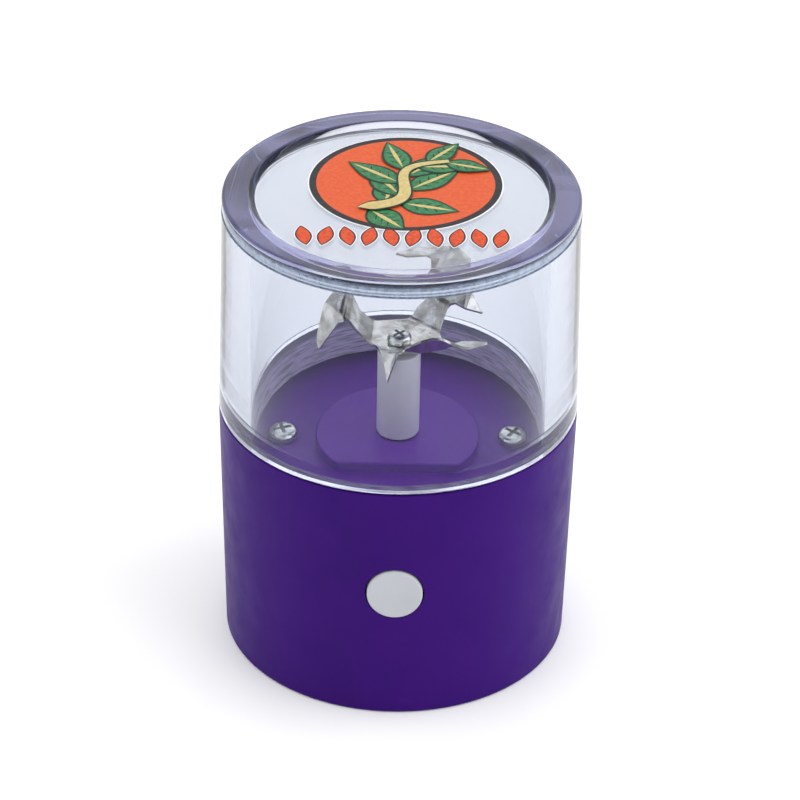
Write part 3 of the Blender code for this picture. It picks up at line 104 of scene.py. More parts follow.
def finish_mesh(name, bm, sharp_deg=30, place=None):
    """Ends a shape drawn in millimetres: scales it, places it, and turns it into a smooth-shaded mesh."""
    bmesh.ops.scale(bm, vec=(MM, MM, MM), verts=bm.verts)
    if place:
        bmesh.ops.transform(bm, matrix=place, verts=bm.verts)
    bmesh.ops.recalc_face_normals(bm, faces=bm.faces)
    mesh = bpy.data.meshes.new(name)
    bm.to_mesh(mesh)
    bm.free()
    mesh.shade_smooth()
    mesh.set_sharp_from_angle(angle=math.radians(sharp_deg))
    return mesh


def shift(x, y, z):
    return Matrix.Translation((x * MM, y * MM, z * MM))


def supported(profile, margin=0.06, longest=0.8):
    """Adds a ring close to each end of a long stretch, so that its shading stays true to its shape."""
    points = []
    for (r1, z1), (r2, z2) in zip(profile, profile[1:] + profile[:1]):
        points.append((r1, z1))
        length = math.hypot(r2 - r1, z2 - z1)
        if length > longest and min(r1, r2) > 0:
            for t in (margin / length, 1 - margin / length):
                points.append((r1 + (r2 - r1) * t, z1 + (z2 - z1) * t))
    return points


def add_turned(bm, make_profile, segments):
    """Turns a closed profile about Z; a pair of points on the axis becomes two flat caps."""

    def profile_at(angle):
        return supported(list(make_profile(angle)))

    columns = []
    for i in range(segments):
        angle = 2 * math.pi * i / segments
        columns.append([bm.verts.new((*polar(r, angle), z)) for r, z in profile_at(angle) if r > 0])
    radii = [r for r, z in profile_at(0.0)]
    rows = sum(1 for r in radii if r > 0)
    caps = [sum(1 for r in radii[:i] if r > 0) for i, r in enumerate(radii) if r == 0]
    last = (caps[0] - 1) % rows if caps else None
    if caps:
        bm.faces.new([column[last] for column in columns])
        bm.faces.new([column[(last + 1) % rows] for column in columns])
    for i in range(segments):
        here = columns[i]
        there = columns[(i + 1) % segments]
        for j in range(rows):
            if j != last:
                k = (j + 1) % rows
                bm.faces.new((here[j], there[j], there[k], here[k]))


def turned(name, profile, segments, place=None):
    bm = bmesh.new()
    add_turned(bm, profile if callable(profile) else lambda angle: profile, segments)
    return finish_mesh(name, bm, place=place)


def add_prism(bm, outline, low, high):
    bottom = [bm.verts.new((x, y, low)) for x, y in outline]
    top = [bm.verts.new((x, y, high)) for x, y in outline]
    bm.faces.new(bottom)
    bm.faces.new(top)
    for i in range(len(outline)):
        j = (i + 1) % len(outline)
        bm.faces.new((bottom[i], bottom[j], top[j], top[i]))


def prism(name, outline, low, high, place=None):
    bm = bmesh.new()
    add_prism(bm, outline, low, high)
    return finish_mesh(name, bm, place=place)


def piece(name, mesh, material, body, replaces=()):
    """Adds an object that rides on a body and takes the place of the named CAD nodes."""
    obj = bpy.data.objects.new(name, mesh)
    bpy.context.scene.collection.objects.link(obj)
    obj.data.materials.append(material)
    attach(obj, body)
    if replaces:
        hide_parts(*replaces)
    return obj


def add_bevel(obj, width, segments=2, angle_deg=30):
    modifier = obj.modifiers.new("edges", "BEVEL")
    modifier.width = width * MM
    modifier.segments = segments
    modifier.limit_method = "ANGLE"
    modifier.angle_limit = math.radians(angle_deg)
    modifier.harden_normals = True


def bake_booleans(target, cutters, unions=()):
    """Cuts and joins with Booleans, applies them, and removes the tools."""
    for operation, tools in (("UNION", unions), ("DIFFERENCE", cutters)):
        for mesh in tools:
            tool = bpy.data.objects.new("tool", mesh)
            bpy.context.scene.collection.objects.link(tool)
            modifier = target.modifiers.new("tool", "BOOLEAN")
            modifier.operation = operation
            modifier.object = tool
            graph = bpy.context.evaluated_depsgraph_get()
            result = bpy.data.meshes.new_from_object(target.evaluated_get(graph))
            target.modifiers.remove(modifier)
            target.data = result
            bpy.data.objects.remove(tool)
    target.data.shade_smooth()
    target.data.set_sharp_from_angle(angle=math.radians(30))


def rounded_rectangle(width, height, radius, steps=8):
    points = []
    for corner, (sx, sy) in enumerate(((1, 1), (-1, 1), (-1, -1), (1, -1))):
        cx = sx * (width / 2 - radius)
        cy = sy * (height / 2 - radius)
        for i in range(steps + 1):
            dx, dy = polar(radius, math.radians(90 * corner + 90 * i / steps))
            points.append((cx + dx, cy + dy))
    return points


def circle(radius, steps, center=(0, 0)):
    points = []
    for i in range(steps):
        x, y = polar(radius, 2 * math.pi * i / steps)
        points.append((center[0] + x, center[1] + y))
    return points


def flatted_circle(radius, flat, steps=40):
    """A circle with two flats, each at the given distance from the center."""
    half_angle = math.asin(flat / radius)
    points = []
    for center in (0, math.pi):
        for i in range(steps + 1):
            points.append(polar(radius, center - half_angle + 2 * half_angle * i / steps))
    return points


def cross_outline(length, width):
    """The plus-shaped outline of a driver recess."""
    a = length / 2
    b = width / 2
    quarter = [(a, -b), (a, b), (b, b)]
    points = []
    for turn in range(4):
        c = round(math.cos(turn * math.pi / 2))
        s = round(math.sin(turn * math.pi / 2))
        points.extend((c * x - s * y, s * x + c * y) for x, y in quarter)
    return points


# Material helpers


class Recipe:
    """A Principled material with a few node shorthands. Its textures follow the object."""

    def __init__(self, name, color, roughness, metallic=0.0, specular=0.5):
        self.material = bpy.data.materials.new(name)
        self.material.use_nodes = True
        self.tree = self.material.node_tree
        self.shader = self.tree.nodes["Principled BSDF"]
        self.output = self.tree.nodes["Material Output"]
        self.set("Base Color", (*color, 1.0))
        self.set("Roughness", roughness)
        self.set("Metallic", metallic)
        self.set("Specular IOR Level", specular)
        self.color = color
        self.normal = None
        self.material.diffuse_color = (*color, 1.0)

    def set(self, socket, value):
        self.shader.inputs[socket].default_value = value

    def link(self, source, target):
        self.tree.links.new(source, target)

    def coordinates(self, stretch=(1, 1, 1)):
        source = self.tree.nodes.new("ShaderNodeTexCoord")
        mapping = self.tree.nodes.new("ShaderNodeMapping")
        mapping.inputs["Scale"].default_value = stretch
        self.link(source.outputs["Object"], mapping.inputs["Vector"])
        return mapping.outputs["Vector"]

    def noise(self, feature_mm, detail=3.0, stretch=(1, 1, 1), distortion=0.0):
        node = self.tree.nodes.new("ShaderNodeTexNoise")
        node.inputs["Scale"].default_value = 1 / (feature_mm * MM)
        node.inputs["Detail"].default_value = detail
        node.inputs["Distortion"].default_value = distortion
        self.link(self.coordinates(stretch), node.inputs["Vector"])
        return node.outputs["Fac"]

    def cells(self, feature_mm, output="Distance", feature="F1"):
        node = self.tree.nodes.new("ShaderNodeTexVoronoi")
        node.feature = feature
        node.inputs["Scale"].default_value = 1 / (feature_mm * MM)
        self.link(self.coordinates(), node.inputs["Vector"])
        return node.outputs[output]

    def remap(self, value, from_low, from_high, to_low=0.0, to_high=1.0):
        """Stretches one range of a value onto another, and holds it at the ends."""
        node = self.tree.nodes.new("ShaderNodeMapRange")
        node.inputs["From Min"].default_value = from_low
        node.inputs["From Max"].default_value = from_high
        node.inputs["To Min"].default_value = to_low
        node.inputs["To Max"].default_value = to_high
        self.link(value, node.inputs["Value"])
        return node.outputs["Result"]

    def math(self, operation, a, b):
        node = self.tree.nodes.new("ShaderNodeMath")
        node.operation = operation
        for socket, value in zip(node.inputs, (a, b)):
            if isinstance(value, (int, float)):
                socket.default_value = value
            else:
                self.link(value, socket)
        return node.outputs["Value"]

    def product(self, first, *others):
        for other in others:
            first = self.math("MULTIPLY", first, other)
        return first

    def mix(self, factor, first, second):
        node = self.tree.nodes.new("ShaderNodeMix")
        node.data_type = "RGBA"
        self.link(factor, node.inputs["Factor"])
        for socket, value in ((node.inputs["A"], first), (node.inputs["B"], second)):
            if isinstance(value, tuple):
                socket.default_value = (*value, 1.0)
            else:
                self.link(value, socket)
        return node.outputs["Result"]

    def vary_color(self, factor, other):
        """Mixes another color over what the base color is so far."""
        source = self.shader.inputs["Base Color"]
        first = source.links[0].from_socket if source.is_linked else self.color
        self.link(self.mix(factor, first, other), source)

    def vary_roughness(self, value, low, high):
        self.link(self.remap(value, 0.3, 0.7, low, high), self.shader.inputs["Roughness"])

    def bump(self, height, depth_mm):
        """Adds relief over any relief from before."""
        node = self.tree.nodes.new("ShaderNodeBump")
        node.inputs["Strength"].default_value = 1.0
        node.inputs["Distance"].default_value = depth_mm * MM
        self.link(height, node.inputs["Height"])
        if self.normal:
            self.link(self.normal, node.inputs["Normal"])
        self.normal = node.outputs["Normal"]
        self.link(self.normal, self.shader.inputs["Normal"])

    def height_radius_depth(self):
        """The height, the distance from the Z axis and the Y place of each point of the object."""
        split = self.tree.nodes.new("ShaderNodeSeparateXYZ")
        self.link(self.coordinates(), split.inputs["Vector"])
        x, y, z = (split.outputs[axis] for axis in "XYZ")
        square = self.math("ADD", self.product(x, x), self.product(y, y))
        return z, self.math("SQRT", square, 0.0), y

    def ramp(self, value, low_mm, high_mm, to_low=0.0, to_high=1.0):
        """A remap of a place or a distance, with its limits in millimetres."""
        return self.remap(value, low_mm * MM, high_mm * MM, to_low, to_high)

    def within(self, value, low_mm, high_mm, soft_mm):
        """1 between two limits and 0 beyond them, with soft ends."""
        rise = self.ramp(value, low_mm - soft_mm, low_mm + soft_mm)
        fall = self.ramp(value, high_mm - soft_mm, high_mm + soft_mm, 1.0, 0.0)
        return self.product(rise, fall)

    def specks(self, cell_mm, radius, share):
        """1 on small round specks, which only a share of the cells has."""
        dot = self.math("LESS_THAN", self.cells(cell_mm), radius)
        some = self.math("LESS_THAN", self.cells(cell_mm, "Color"), share)
        return self.product(dot, some)


def moulded(name, color, roughness, other, specular=0.5, grain_mm=0.35, dust=0.0):
    """Moulded plastic: slow colour drift, a fine grain, patchy gloss, and a few specks of dust."""
    recipe = Recipe(name, color, roughness, specular=specular)
    drift = recipe.noise(14, detail=4)
    recipe.vary_color(recipe.remap(drift, 0.35, 0.65), other)
    if dust:
        recipe.vary_color(recipe.specks(3.2, 0.035, dust), (0.55, 0.52, 0.62))
    recipe.vary_roughness(recipe.noise(5, detail=6), roughness * 0.85, roughness * 1.2)
    recipe.bump(recipe.noise(9, detail=1), 0.02)
    recipe.bump(recipe.noise(grain_mm, detail=2), 0.02)
    return recipe.material


def metal(name, color, roughness, other, stretch=(1, 1, 1), wave_mm=1.6, wave_depth=0.02):
    """Sheet or turned metal: fine lines along the stretch, smudges, and a slight waviness."""
    recipe = Recipe(name, color, roughness, metallic=1.0)
    smudge = recipe.noise(2.2, detail=5)
    recipe.vary_color(recipe.remap(smudge, 0.4, 0.7), other)
    lines = recipe.noise(0.12, detail=3, stretch=stretch)
    recipe.vary_roughness(lines, roughness * 0.7, roughness * 1.5)
    recipe.bump(recipe.noise(wave_mm, detail=2), wave_depth)
    recipe.bump(lines, 0.003)
    return recipe.material


def satin_and_painted_light_zones(recipe):
    """The zones of the cup that are partly satin. The violet of the top ring and the lavender of the thread and
    the bore are painted light from the purple base.

    Each one is a mask, how satin it is, its color, and the mask value from which that color is full.
    """
    height, radius, depth = recipe.height_radius_depth()
    lines = recipe.noise(0.5, detail=3, stretch=(0.12, 0.12, 1.5))
    streaks = recipe.noise(0.9, detail=4, stretch=(1, 1, 0.5))
    painted_light_swirls = recipe.noise(16, detail=0, distortion=1.2)
    # The thread and the bore are frosted. Their lavender tint is painted light that stands in for the purple
    # base's light showing through them.
    thread = recipe.product(
        recipe.within(height, SPIGOT_BOTTOM - 1.1, SHOULDER_Z - 0.2, 0.3),
        recipe.ramp(radius, BORE_RADIUS + 0.3, BORE_RADIUS + 0.6),
        recipe.remap(lines, 0.35, 0.55, 0.6),
    )
    bore = recipe.product(
        recipe.within(height, SPIGOT_BOTTOM - 1.1, SHOULDER_Z - 0.4, 0.2),
        recipe.ramp(radius, BORE_RADIUS + 0.05, BORE_RADIUS + 0.25, 1.0, 0.0),
        recipe.remap(lines, 0.38, 0.58, 0.4),
    )
    lid = recipe.product(
        recipe.math("GREATER_THAN", height, (RECESS_Z - 0.29) * MM),
        recipe.ramp(radius, RECESS_RADIUS - 0.4, RECESS_RADIUS + 0.2, 1.0, 0.0),
    )
    edge = recipe.product(
        recipe.within(height, TOTAL_HEIGHT - 2.94, TOTAL_HEIGHT - 1.04, 0.2),
        recipe.ramp(radius, FLANGE_RADIUS - 0.77, FLANGE_RADIUS - 0.57),
        recipe.remap(streaks, 0.35, 0.6, 0.5),
    )
    # Painted light: the top ring's violet swirls stand in for the purple base's light piped up the clear wall,
    # and they are painted weaker towards the front (-Y).
    ring = recipe.product(
        recipe.math("GREATER_THAN", height, (TOTAL_HEIGHT - 0.49) * MM),
        recipe.ramp(radius, BORE_RADIUS - 0.3, BORE_RADIUS + 0.1),
        recipe.remap(painted_light_swirls, 0.35, 0.65, 0.35),
        recipe.ramp(depth, -27.5, -19, 0.15),
    )
    return {
        # Thread and bore: frosted, with a lavender tint that is painted light from the purple base.
        "thread": (thread, 0.92, (0.86, 0.80, 1.0), 0.5),
        "bore": (bore, 0.95, (0.88, 0.80, 1.0), 1.0),
        "lid": (lid, 0.12, (0.58, 0.605, 0.65), 1.0),
        "edge": (edge, 0.55, (0.42, 0.49, 0.62), 0.5),
        # The ring's violet is painted light from the purple base.
        "ring": (ring, 0.44, (0.24, 0.24, 0.46), 0.3),
    }


def clear_plastic():
    """Thick clear plastic with a faint blue-violet tint and some satin zones, some of which carry painted light
    from the purple base.
    """
    recipe = Recipe("clear_plastic", (0.90, 0.912, 0.93), 0.0)
    recipe.set("IOR", 1.49)
    recipe.set("Specular Tint", (0.35, 0.35, 0.35, 1.0))
    zones = satin_and_painted_light_zones(recipe)
    clear = 1.0
    for mask, satin, color, full in zones.values():
        clear = recipe.math("SUBTRACT", clear, recipe.math("MULTIPLY", mask, satin))
        recipe.vary_color(recipe.remap(mask, 0.0, full), color)
    recipe.link(clear, recipe.shader.inputs["Transmission Weight"])
    scratch_pattern = recipe.noise(0.5, detail=2, stretch=(1, 1, 0.08), distortion=0.6)
    scratches = recipe.remap(scratch_pattern, 0.62, 0.8, 0.0, 0.06)
    thread_roughness = recipe.math("MULTIPLY", zones["thread"][0], 0.5)
    recipe.link(recipe.math("ADD", scratches, thread_roughness), recipe.shader.inputs["Roughness"])
    recipe.bump(recipe.noise(11, detail=1), 0.012)
    absorb = recipe.tree.nodes.new("ShaderNodeVolumeAbsorption")
    absorb.inputs["Color"].default_value = (0.0, 0.10, 0.35, 1.0)
    absorb.inputs["Density"].default_value = 34.0
    recipe.link(absorb.outputs["Volume"], recipe.output.inputs["Volume"])
    return recipe.material


def print_ink(name, color, other):
    """Printing ink: faint mottling and a little gloss."""
    roughness = 0.38
    recipe = Recipe(name, color, roughness, specular=0.1)
    recipe.vary_color(recipe.remap(recipe.noise(0.7, detail=4), 0.4, 0.65), other)
    recipe.vary_roughness(recipe.noise(1.4, detail=4), roughness * 0.8, roughness * 1.3)
    recipe.bump(recipe.noise(0.2, detail=2), 0.006)
    return recipe.material


def silicone():
    """Milky silicone that lets a little light through."""
    recipe = Recipe("seal_silicone", (0.74, 0.72, 0.86), 0.45)
    recipe.set("Transmission Weight", 0.2)
    recipe.vary_color(recipe.noise(4, detail=3), (0.66, 0.64, 0.80))
    recipe.bump(recipe.noise(0.4, detail=2), 0.01)
    return recipe.material


def circuit_board():
    """Green board with a net of slightly lighter tracks."""
    recipe = Recipe("circuit_board", (0.02, 0.16, 0.06), 0.4)
    tracks = recipe.cells(1.6, feature="DISTANCE_TO_EDGE")
    recipe.vary_color(recipe.remap(tracks, 0.0, 0.12, 0.6, 0.0), (0.05, 0.28, 0.11))
    recipe.vary_roughness(recipe.noise(1, detail=3), 0.3, 0.5)
    recipe.bump(tracks, 0.02)
    return recipe.material


def striped(name, color, roughness, other, spacing_mm):
    """Windings or stacked sheets: fine even lines across the height."""
    period_at_unit_scale = 0.314
    recipe = Recipe(name, color, roughness, metallic=1.0)
    wave = recipe.tree.nodes.new("ShaderNodeTexWave")
    wave.bands_direction = "Z"
    wave.inputs["Scale"].default_value = period_at_unit_scale / (spacing_mm * MM)
    wave.inputs["Distortion"].default_value = 0.4
    recipe.link(recipe.coordinates(), wave.inputs["Vector"])
    recipe.vary_color(wave.outputs["Fac"], other)
    recipe.vary_roughness(recipe.noise(0.8, detail=3), roughness * 0.8, roughness * 1.3)
    recipe.bump(wave.outputs["Fac"], 0.05)
    return recipe.material


def make_materials():
    return {
        "clear": clear_plastic(),
        "seal": silicone(),
        "purple": moulded(
            "purple_plastic", (0.028, 0.0012, 0.125), 0.42, (0.033, 0.0016, 0.14), specular=0.08, dust=0.05
        ),
        "deck": moulded(
            "deck_plastic", (0.205, 0.040, 0.54), 0.36, (0.22, 0.045, 0.58), specular=0.25, dust=0.05
        ),
        "white": moulded("white_plastic", (0.94, 0.92, 0.93), 0.40, (0.90, 0.88, 0.90), grain_mm=0.5),
        "button": moulded("button_plastic", (0.47, 0.48, 0.52), 0.42, (0.43, 0.44, 0.48), specular=0.35),
        "steel": metal(
            "stainless_steel", (0.68, 0.665, 0.62), 0.14, (0.33, 0.315, 0.28), stretch=(1, 9, 1), wave_depth=0.05
        ),
        "zinc": metal("zinc_plate", (0.74, 0.75, 0.74), 0.16, (0.45, 0.48, 0.47), wave_mm=0.6, wave_depth=0.09),
        "can": metal("motor_can_steel", (0.50, 0.50, 0.50), 0.32, (0.38, 0.37, 0.35), stretch=(1, 1, 0.1)),
        "bronze": metal("sintered_bronze", (0.50, 0.31, 0.13), 0.5, (0.36, 0.22, 0.10), wave_mm=0.3),
        "brass": metal("terminal_brass", (0.74, 0.56, 0.25), 0.3, (0.60, 0.43, 0.18)),
        "copper": striped("winding_copper", (0.66, 0.24, 0.10), 0.35, (0.38, 0.11, 0.05), 0.3),
        "core": striped("core_laminations", (0.32, 0.32, 0.33), 0.45, (0.18, 0.18, 0.19), 0.5),
        "ferrite": moulded("ferrite", (0.05, 0.05, 0.055), 0.6, (0.035, 0.035, 0.04), grain_mm=0.2),
        "nylon": moulded("end_cap_nylon", (0.05, 0.05, 0.05), 0.5, (0.07, 0.07, 0.07)),
        "carbon": moulded("brush_carbon", (0.06, 0.06, 0.06), 0.7, (0.04, 0.04, 0.04), grain_mm=0.2),
        "pouch": metal("battery_pouch", (0.55, 0.56, 0.58), 0.35, (0.42, 0.43, 0.46), wave_mm=5, wave_depth=0.12),
        "board": circuit_board(),
        "chip": moulded("chip_resin", (0.03, 0.03, 0.03), 0.45, (0.05, 0.05, 0.05), grain_mm=0.15),
        "led": moulded("led_lens", (0.78, 0.78, 0.66), 0.2, (0.70, 0.70, 0.60)),
        "switch": moulded("switch_housing", (0.04, 0.04, 0.04), 0.5, (0.06, 0.06, 0.06)),
        "lead_red": moulded("lead_red", (0.50, 0.02, 0.02), 0.45, (0.40, 0.015, 0.015)),
        "lead_black": moulded("lead_black", (0.02, 0.02, 0.02), 0.45, (0.03, 0.03, 0.03)),
        "ink_white": print_ink("ink_white", (0.80, 0.79, 0.80), (0.72, 0.71, 0.74)),
        "ink_black": print_ink("ink_black", (0.014, 0.015, 0.018), (0.025, 0.027, 0.030)),
        "ink_orange": print_ink("ink_orange", (0.56, 0.078, 0.018), (0.62, 0.10, 0.03)),
        "ink_rust": print_ink("ink_rust", (0.62, 0.075, 0.018), (0.45, 0.045, 0.012)),
        "ink_green": print_ink("ink_green", (0.022, 0.13, 0.05), (0.045, 0.21, 0.085)),
        "ink_dark_green": print_ink("ink_dark_green", (0.006, 0.028, 0.014), (0.010, 0.04, 0.02)),
        "ink_cream": print_ink("ink_cream", (0.48, 0.37, 0.14), (0.56, 0.46, 0.21)),
    }


# The cup


def thread_rise(angle, z, low, high):
    """How far the thread stands out of its root; it runs out over the last 0.4 mm at each end."""
    phase = THREAD_STARTS * (2 * math.pi * (z - low) / THREAD_LEAD - angle)
    run_out = max(0.0, min(1.0, (z - low) / 0.4, (high - z) / 0.4))
    return THREAD_DEPTH * run_out * (0.5 + 0.5 * math.cos(phase))


def thread_rows(root, angle, low, high, steps):
    heights = [low + (high - low) * i / steps for i in range(steps + 1)]
    return [(root + thread_rise(angle, z, low, high), z) for z in heights]


def cup_profile(angle):
    """Up the outside from the threaded spigot to the top ring, then down the recess, the lid and the bore."""
    root = SPIGOT_NECK_RADIUS - THREAD_DEPTH
    edge = 0.8
    fillet = 1.0
    points = [(BORE_RADIUS + 0.25, SPIGOT_BOTTOM), (root - 0.25, SPIGOT_BOTTOM)]
    points += thread_rows(root, angle, SPIGOT_BOTTOM + 0.3, 45.0, 36)
    points += [(SPIGOT_NECK_RADIUS, 45.3), (SPIGOT_NECK_RADIUS, SHOULDER_Z - 0.1)]
    points += [(SPIGOT_NECK_RADIUS + 0.1, SHOULDER_Z), (JOINT_RADIUS - 0.2, SHOULDER_Z)]
    points += [(JOINT_RADIUS - 0.05, SHOULDER_Z + 0.06), (JOINT_RADIUS, SHOULDER_Z + 0.22)]
    groove = FLANGE_RADIUS - 0.22
    points += [(30.75, TOTAL_HEIGHT - 2.9), (groove, TOTAL_HEIGHT - 2.75), (groove, TOTAL_HEIGHT - 2.45)]
    points += [(groove + 0.1, TOTAL_HEIGHT - 2.35), (FLANGE_RADIUS, TOTAL_HEIGHT - 2.1)]
    points += arc(FLANGE_RADIUS - edge, TOTAL_HEIGHT - edge, edge, 0, 90, 10)
    points += [(BORE_RADIUS + 0.15, TOTAL_HEIGHT), (BORE_RADIUS, TOTAL_HEIGHT - 0.05)]
    points += [(RECESS_RADIUS + 0.6, TOTAL_HEIGHT - 0.35), (RECESS_RADIUS + 0.15, RECESS_Z + 0.12)]
    points += [(RECESS_RADIUS, RECESS_Z)]
    points += [(0, RECESS_Z), (0, LID_UNDERSIDE)]
    points += arc(BORE_RADIUS - fillet, LID_UNDERSIDE - fillet, fillet, 90, 0, 10)
    points += [(BORE_RADIUS, SPIGOT_BOTTOM + 0.25)]
    return points


def build_cup(materials):
    mesh = turned("cup_body", cup_profile, 288)
    piece("cup_body", mesh, materials["clear"], "cup", ["clear_cup"])


# The printed label: an abstract sprig on an orange disc, and a row of plain seeds under it

DISC_CENTER = (0.6, 4.2)
DISC_RADIUS = 16.5
FILM = 0.1
INK = 0.007


def almond(length, width, center, turn_deg, steps=14, base=0.0):
    """A pointed leaf or seed shape along the turned +X; a base above 0 makes the near end fuller."""
    points = []
    for side in (1, -1):
        for i in range(steps):
            t = i / steps
            along = length * (t - 0.5) if side > 0 else length * (0.5 - t)
            u = along / length + 0.5
            bulge = math.sin(math.pi * u) ** 0.85 * (1 - base * (u - 0.5))
            points.append(Vector((along, side * width / 2 * bulge)))
    turn = Matrix.Rotation(math.radians(turn_deg), 2)
    return [(c.x + center[0], c.y + center[1]) for c in (turn @ p for p in points)]


def ribbon(points, widths):
    """A flat ribbon of varying width along a line of points."""
    left = []
    right = []
    for i, point in enumerate(points):
        before = points[max(i - 1, 0)]
        after = points[min(i + 1, len(points) - 1)]
        along = (after - before).normalized()
        across = Vector((-along.y, along.x)) * widths[i] / 2
        left.append(tuple(point + across))
        right.append(tuple(point - across))
    return left + right[::-1]


def stem_point(t):
    """The sprig's stem: a slow S across the disc, from its lower left to its upper right."""
    x = -8.8 + 17.0 * t + 3.2 * math.sin(2 * math.pi * t)
    y = -10.6 + 19.4 * t - 1.8 * math.sin(2 * math.pi * t)
    return Vector((DISC_CENTER[0] + x * 0.9, DISC_CENTER[1] + y * 0.86))


def ink(name, outlines, level, material):
    """A patch of ink; a higher level lies over a lower one."""
    bm = bmesh.new()
    low = LABEL_Z + FILM + 0.02 + level * INK
    for outline in outlines:
        add_prism(bm, outline, low, low + INK * 0.8)
    return piece(name, finish_mesh(name, bm), material, "cup")


def add_leaf(number, length, width, center, turn, level, materials):
    """A leaf with a dark edge, three pairs of ribs and a pale middle vein, as four layers of ink."""
    border = 0.9
    rib_turn = 48
    edge = almond(length, width, center, turn, base=0.7)
    ink(f"leaf_edge_{number}", [edge], level, materials["ink_dark_green"])
    blade = almond(length - border, width - border, center, turn, base=0.7)
    ink(f"leaf_{number}", [blade], level + 1, materials["ink_green"])
    along = Vector(polar(1.0, math.radians(turn)))
    ribs = []
    for i in range(3):
        start = Vector(center) + along * length * (0.16 * i - 0.26)
        for side in (-1, 1):
            reach = Vector(polar(width * 0.17, math.radians(turn + side * rib_turn)))
            ribs.append(almond(width * 0.36, 0.26, tuple(start + reach), turn + side * rib_turn))
    ink(f"leaf_ribs_{number}", ribs, level + 2, materials["ink_dark_green"])
    vein = almond(length * 0.8, width * 0.14, center, turn)
    ink(f"leaf_vein_{number}", [vein], level + 3, materials["ink_cream"])


LEAVES = 11
LAYERS_PER_LEAF = 4
FIRST_LEAF_LEVEL = 2


def build_disc(materials):
    bm = bmesh.new()
    add_prism(bm, circle(DISC_RADIUS + 0.25, 128, DISC_CENTER), LABEL_Z, LABEL_Z + FILM)
    film = piece("label_film", finish_mesh("label_film", bm), materials["ink_white"], "cup", ["top_label"])
    add_bevel(film, 0.04)
    ink("label_ring", [circle(DISC_RADIUS, 128, DISC_CENTER)], 0, materials["ink_black"])
    ink("label_field", [circle(DISC_RADIUS - 1.2, 128, DISC_CENTER)], 1, materials["ink_orange"])


def build_leaves(materials):
    """Leaves on alternate sides of the stem, which lean forward more towards its tip."""
    for i in range(LEAVES):
        t = 0.04 + 0.92 * i / (LEAVES - 1)
        side = 1 if i % 2 else -1
        point = stem_point(t)
        ahead = stem_point(min(t + 0.02, 1.0)) - stem_point(t - 0.02)
        heading = math.degrees(math.atan2(ahead.y, ahead.x)) + side * (62 - 34 * t)
        length = 12.4 - 7.5 * abs(t - 0.45)
        width = 6.2 - 1.8 * t
        reach = Vector(polar(length * 0.5 + 0.5, math.radians(heading)))
        level = FIRST_LEAF_LEVEL + LAYERS_PER_LEAF * i
        add_leaf(i + 1, length, width, tuple(point + reach), heading, level, materials)


def build_stem(materials):
    """The stem widens from its pointed lower end and then thins slowly towards its tip."""
    steps = 40
    points = [stem_point(i / steps) for i in range(steps + 1)]
    level = FIRST_LEAF_LEVEL + LAYERS_PER_LEAF * LEAVES
    layers = (
        ("label_stem_edge", 0.8, 3.5, 1.9, "ink_dark_green"),
        ("label_stem", 0.3, 2.7, 1.7, "ink_cream"),
    )
    for i, (name, start_width, full_width, taper, color) in enumerate(layers):
        widths = [min(full_width, start_width + j) - taper * j / steps for j in range(steps + 1)]
        ink(name, [ribbon(points, widths)], level + i, materials[color])


def build_seeds(materials):
    """A row of ten seeds, tilted by turns, each with a white halo and a black edge."""
    shapes = {"halo": [], "edge": [], "core": []}
    for i in range(10):
        center = (-16.3 + 3.66 * i, -14.4)
        turn = 80 if i % 2 else 100
        for name, grow in (("halo", 0.9), ("edge", 0.45), ("core", -0.35)):
            shapes[name].append(almond(6.3 + grow, 2.5 + grow * 0.7, center, turn))
    ink("seed_halos", shapes["halo"][::2] + shapes["halo"][1::2], -3, materials["ink_white"])
    ink("seed_edges", shapes["edge"], -2, materials["ink_black"])
    ink("seeds", shapes["core"], -1, materials["ink_rust"])


def build_label(materials):
    build_disc(materials)
    build_leaves(materials)
    build_stem(materials)
    build_seeds(materials)


# The base


def shell_profile(angle):
    """Out along the floor, up the outside, over the rim, and down the threaded well and the inside."""
    top = JOINT_RADIUS - 0.03
    points = [(0, 0.8), (27.3, 0.8), (27.5, 0.6), (27.9, 0)]
    points += arc(FOOT_RADIUS - 0.6, 0.6, 0.6, -90, 0, 8)
    points += arc(top - 0.3, RIM_Z - 0.3, 0.3, 0, 90, 6)
    points += [(30.95, RIM_Z), (30.9, RIM_Z - 0.05), (30.9, 45.2), (WELL_RADIUS, 45.2)]
    points += reversed(thread_rows(WELL_RADIUS, angle, SPIGOT_BOTTOM + 0.1, 44.9, 36))
    points += [(WELL_RADIUS, LEDGE_Z), (28.3, LEDGE_Z), (28.3, 2.2), (0, 2.2)]
    return points


def build_shell(materials):
    mesh = turned("base_body", shell_profile, 240)
    shell = piece("base_body", mesh, materials["purple"], "base", ["base_shell"])
    front = shift(0, 0, BUTTON_Z) @ FACING_FRONT
    back = shift(0, 0, SOCKET_Z) @ FACING_BACK
    button_hole = prism("hole", circle(BUTTON_RADIUS + CLEARANCE, 64), 25, 34, front)
    slot = prism("slot", rounded_rectangle(9.7, 4.0, 1.9), 26, 34, back)
    posts = []
    holes = []
    for side in (-1, 1):
        posts.append(prism("post", circle(3.2, 24, (side * DECK_SCREW_X, 0)), 1.4, LEDGE_Z))
        holes.append(prism("pilot", circle(1.5, 24, (side * DECK_SCREW_X, 0)), 24, 38))
    bake_booleans(shell, [button_hole, slot, *holes], posts)


def boss_outline(steps=72):
    """A circle with one flat, which faces the button."""
    corner = math.asin(BOSS_FLAT / BOSS_RADIUS)
    sweep = math.pi + 2 * corner
    return [polar(BOSS_RADIUS, sweep * i / steps - corner) for i in range(steps + 1)]


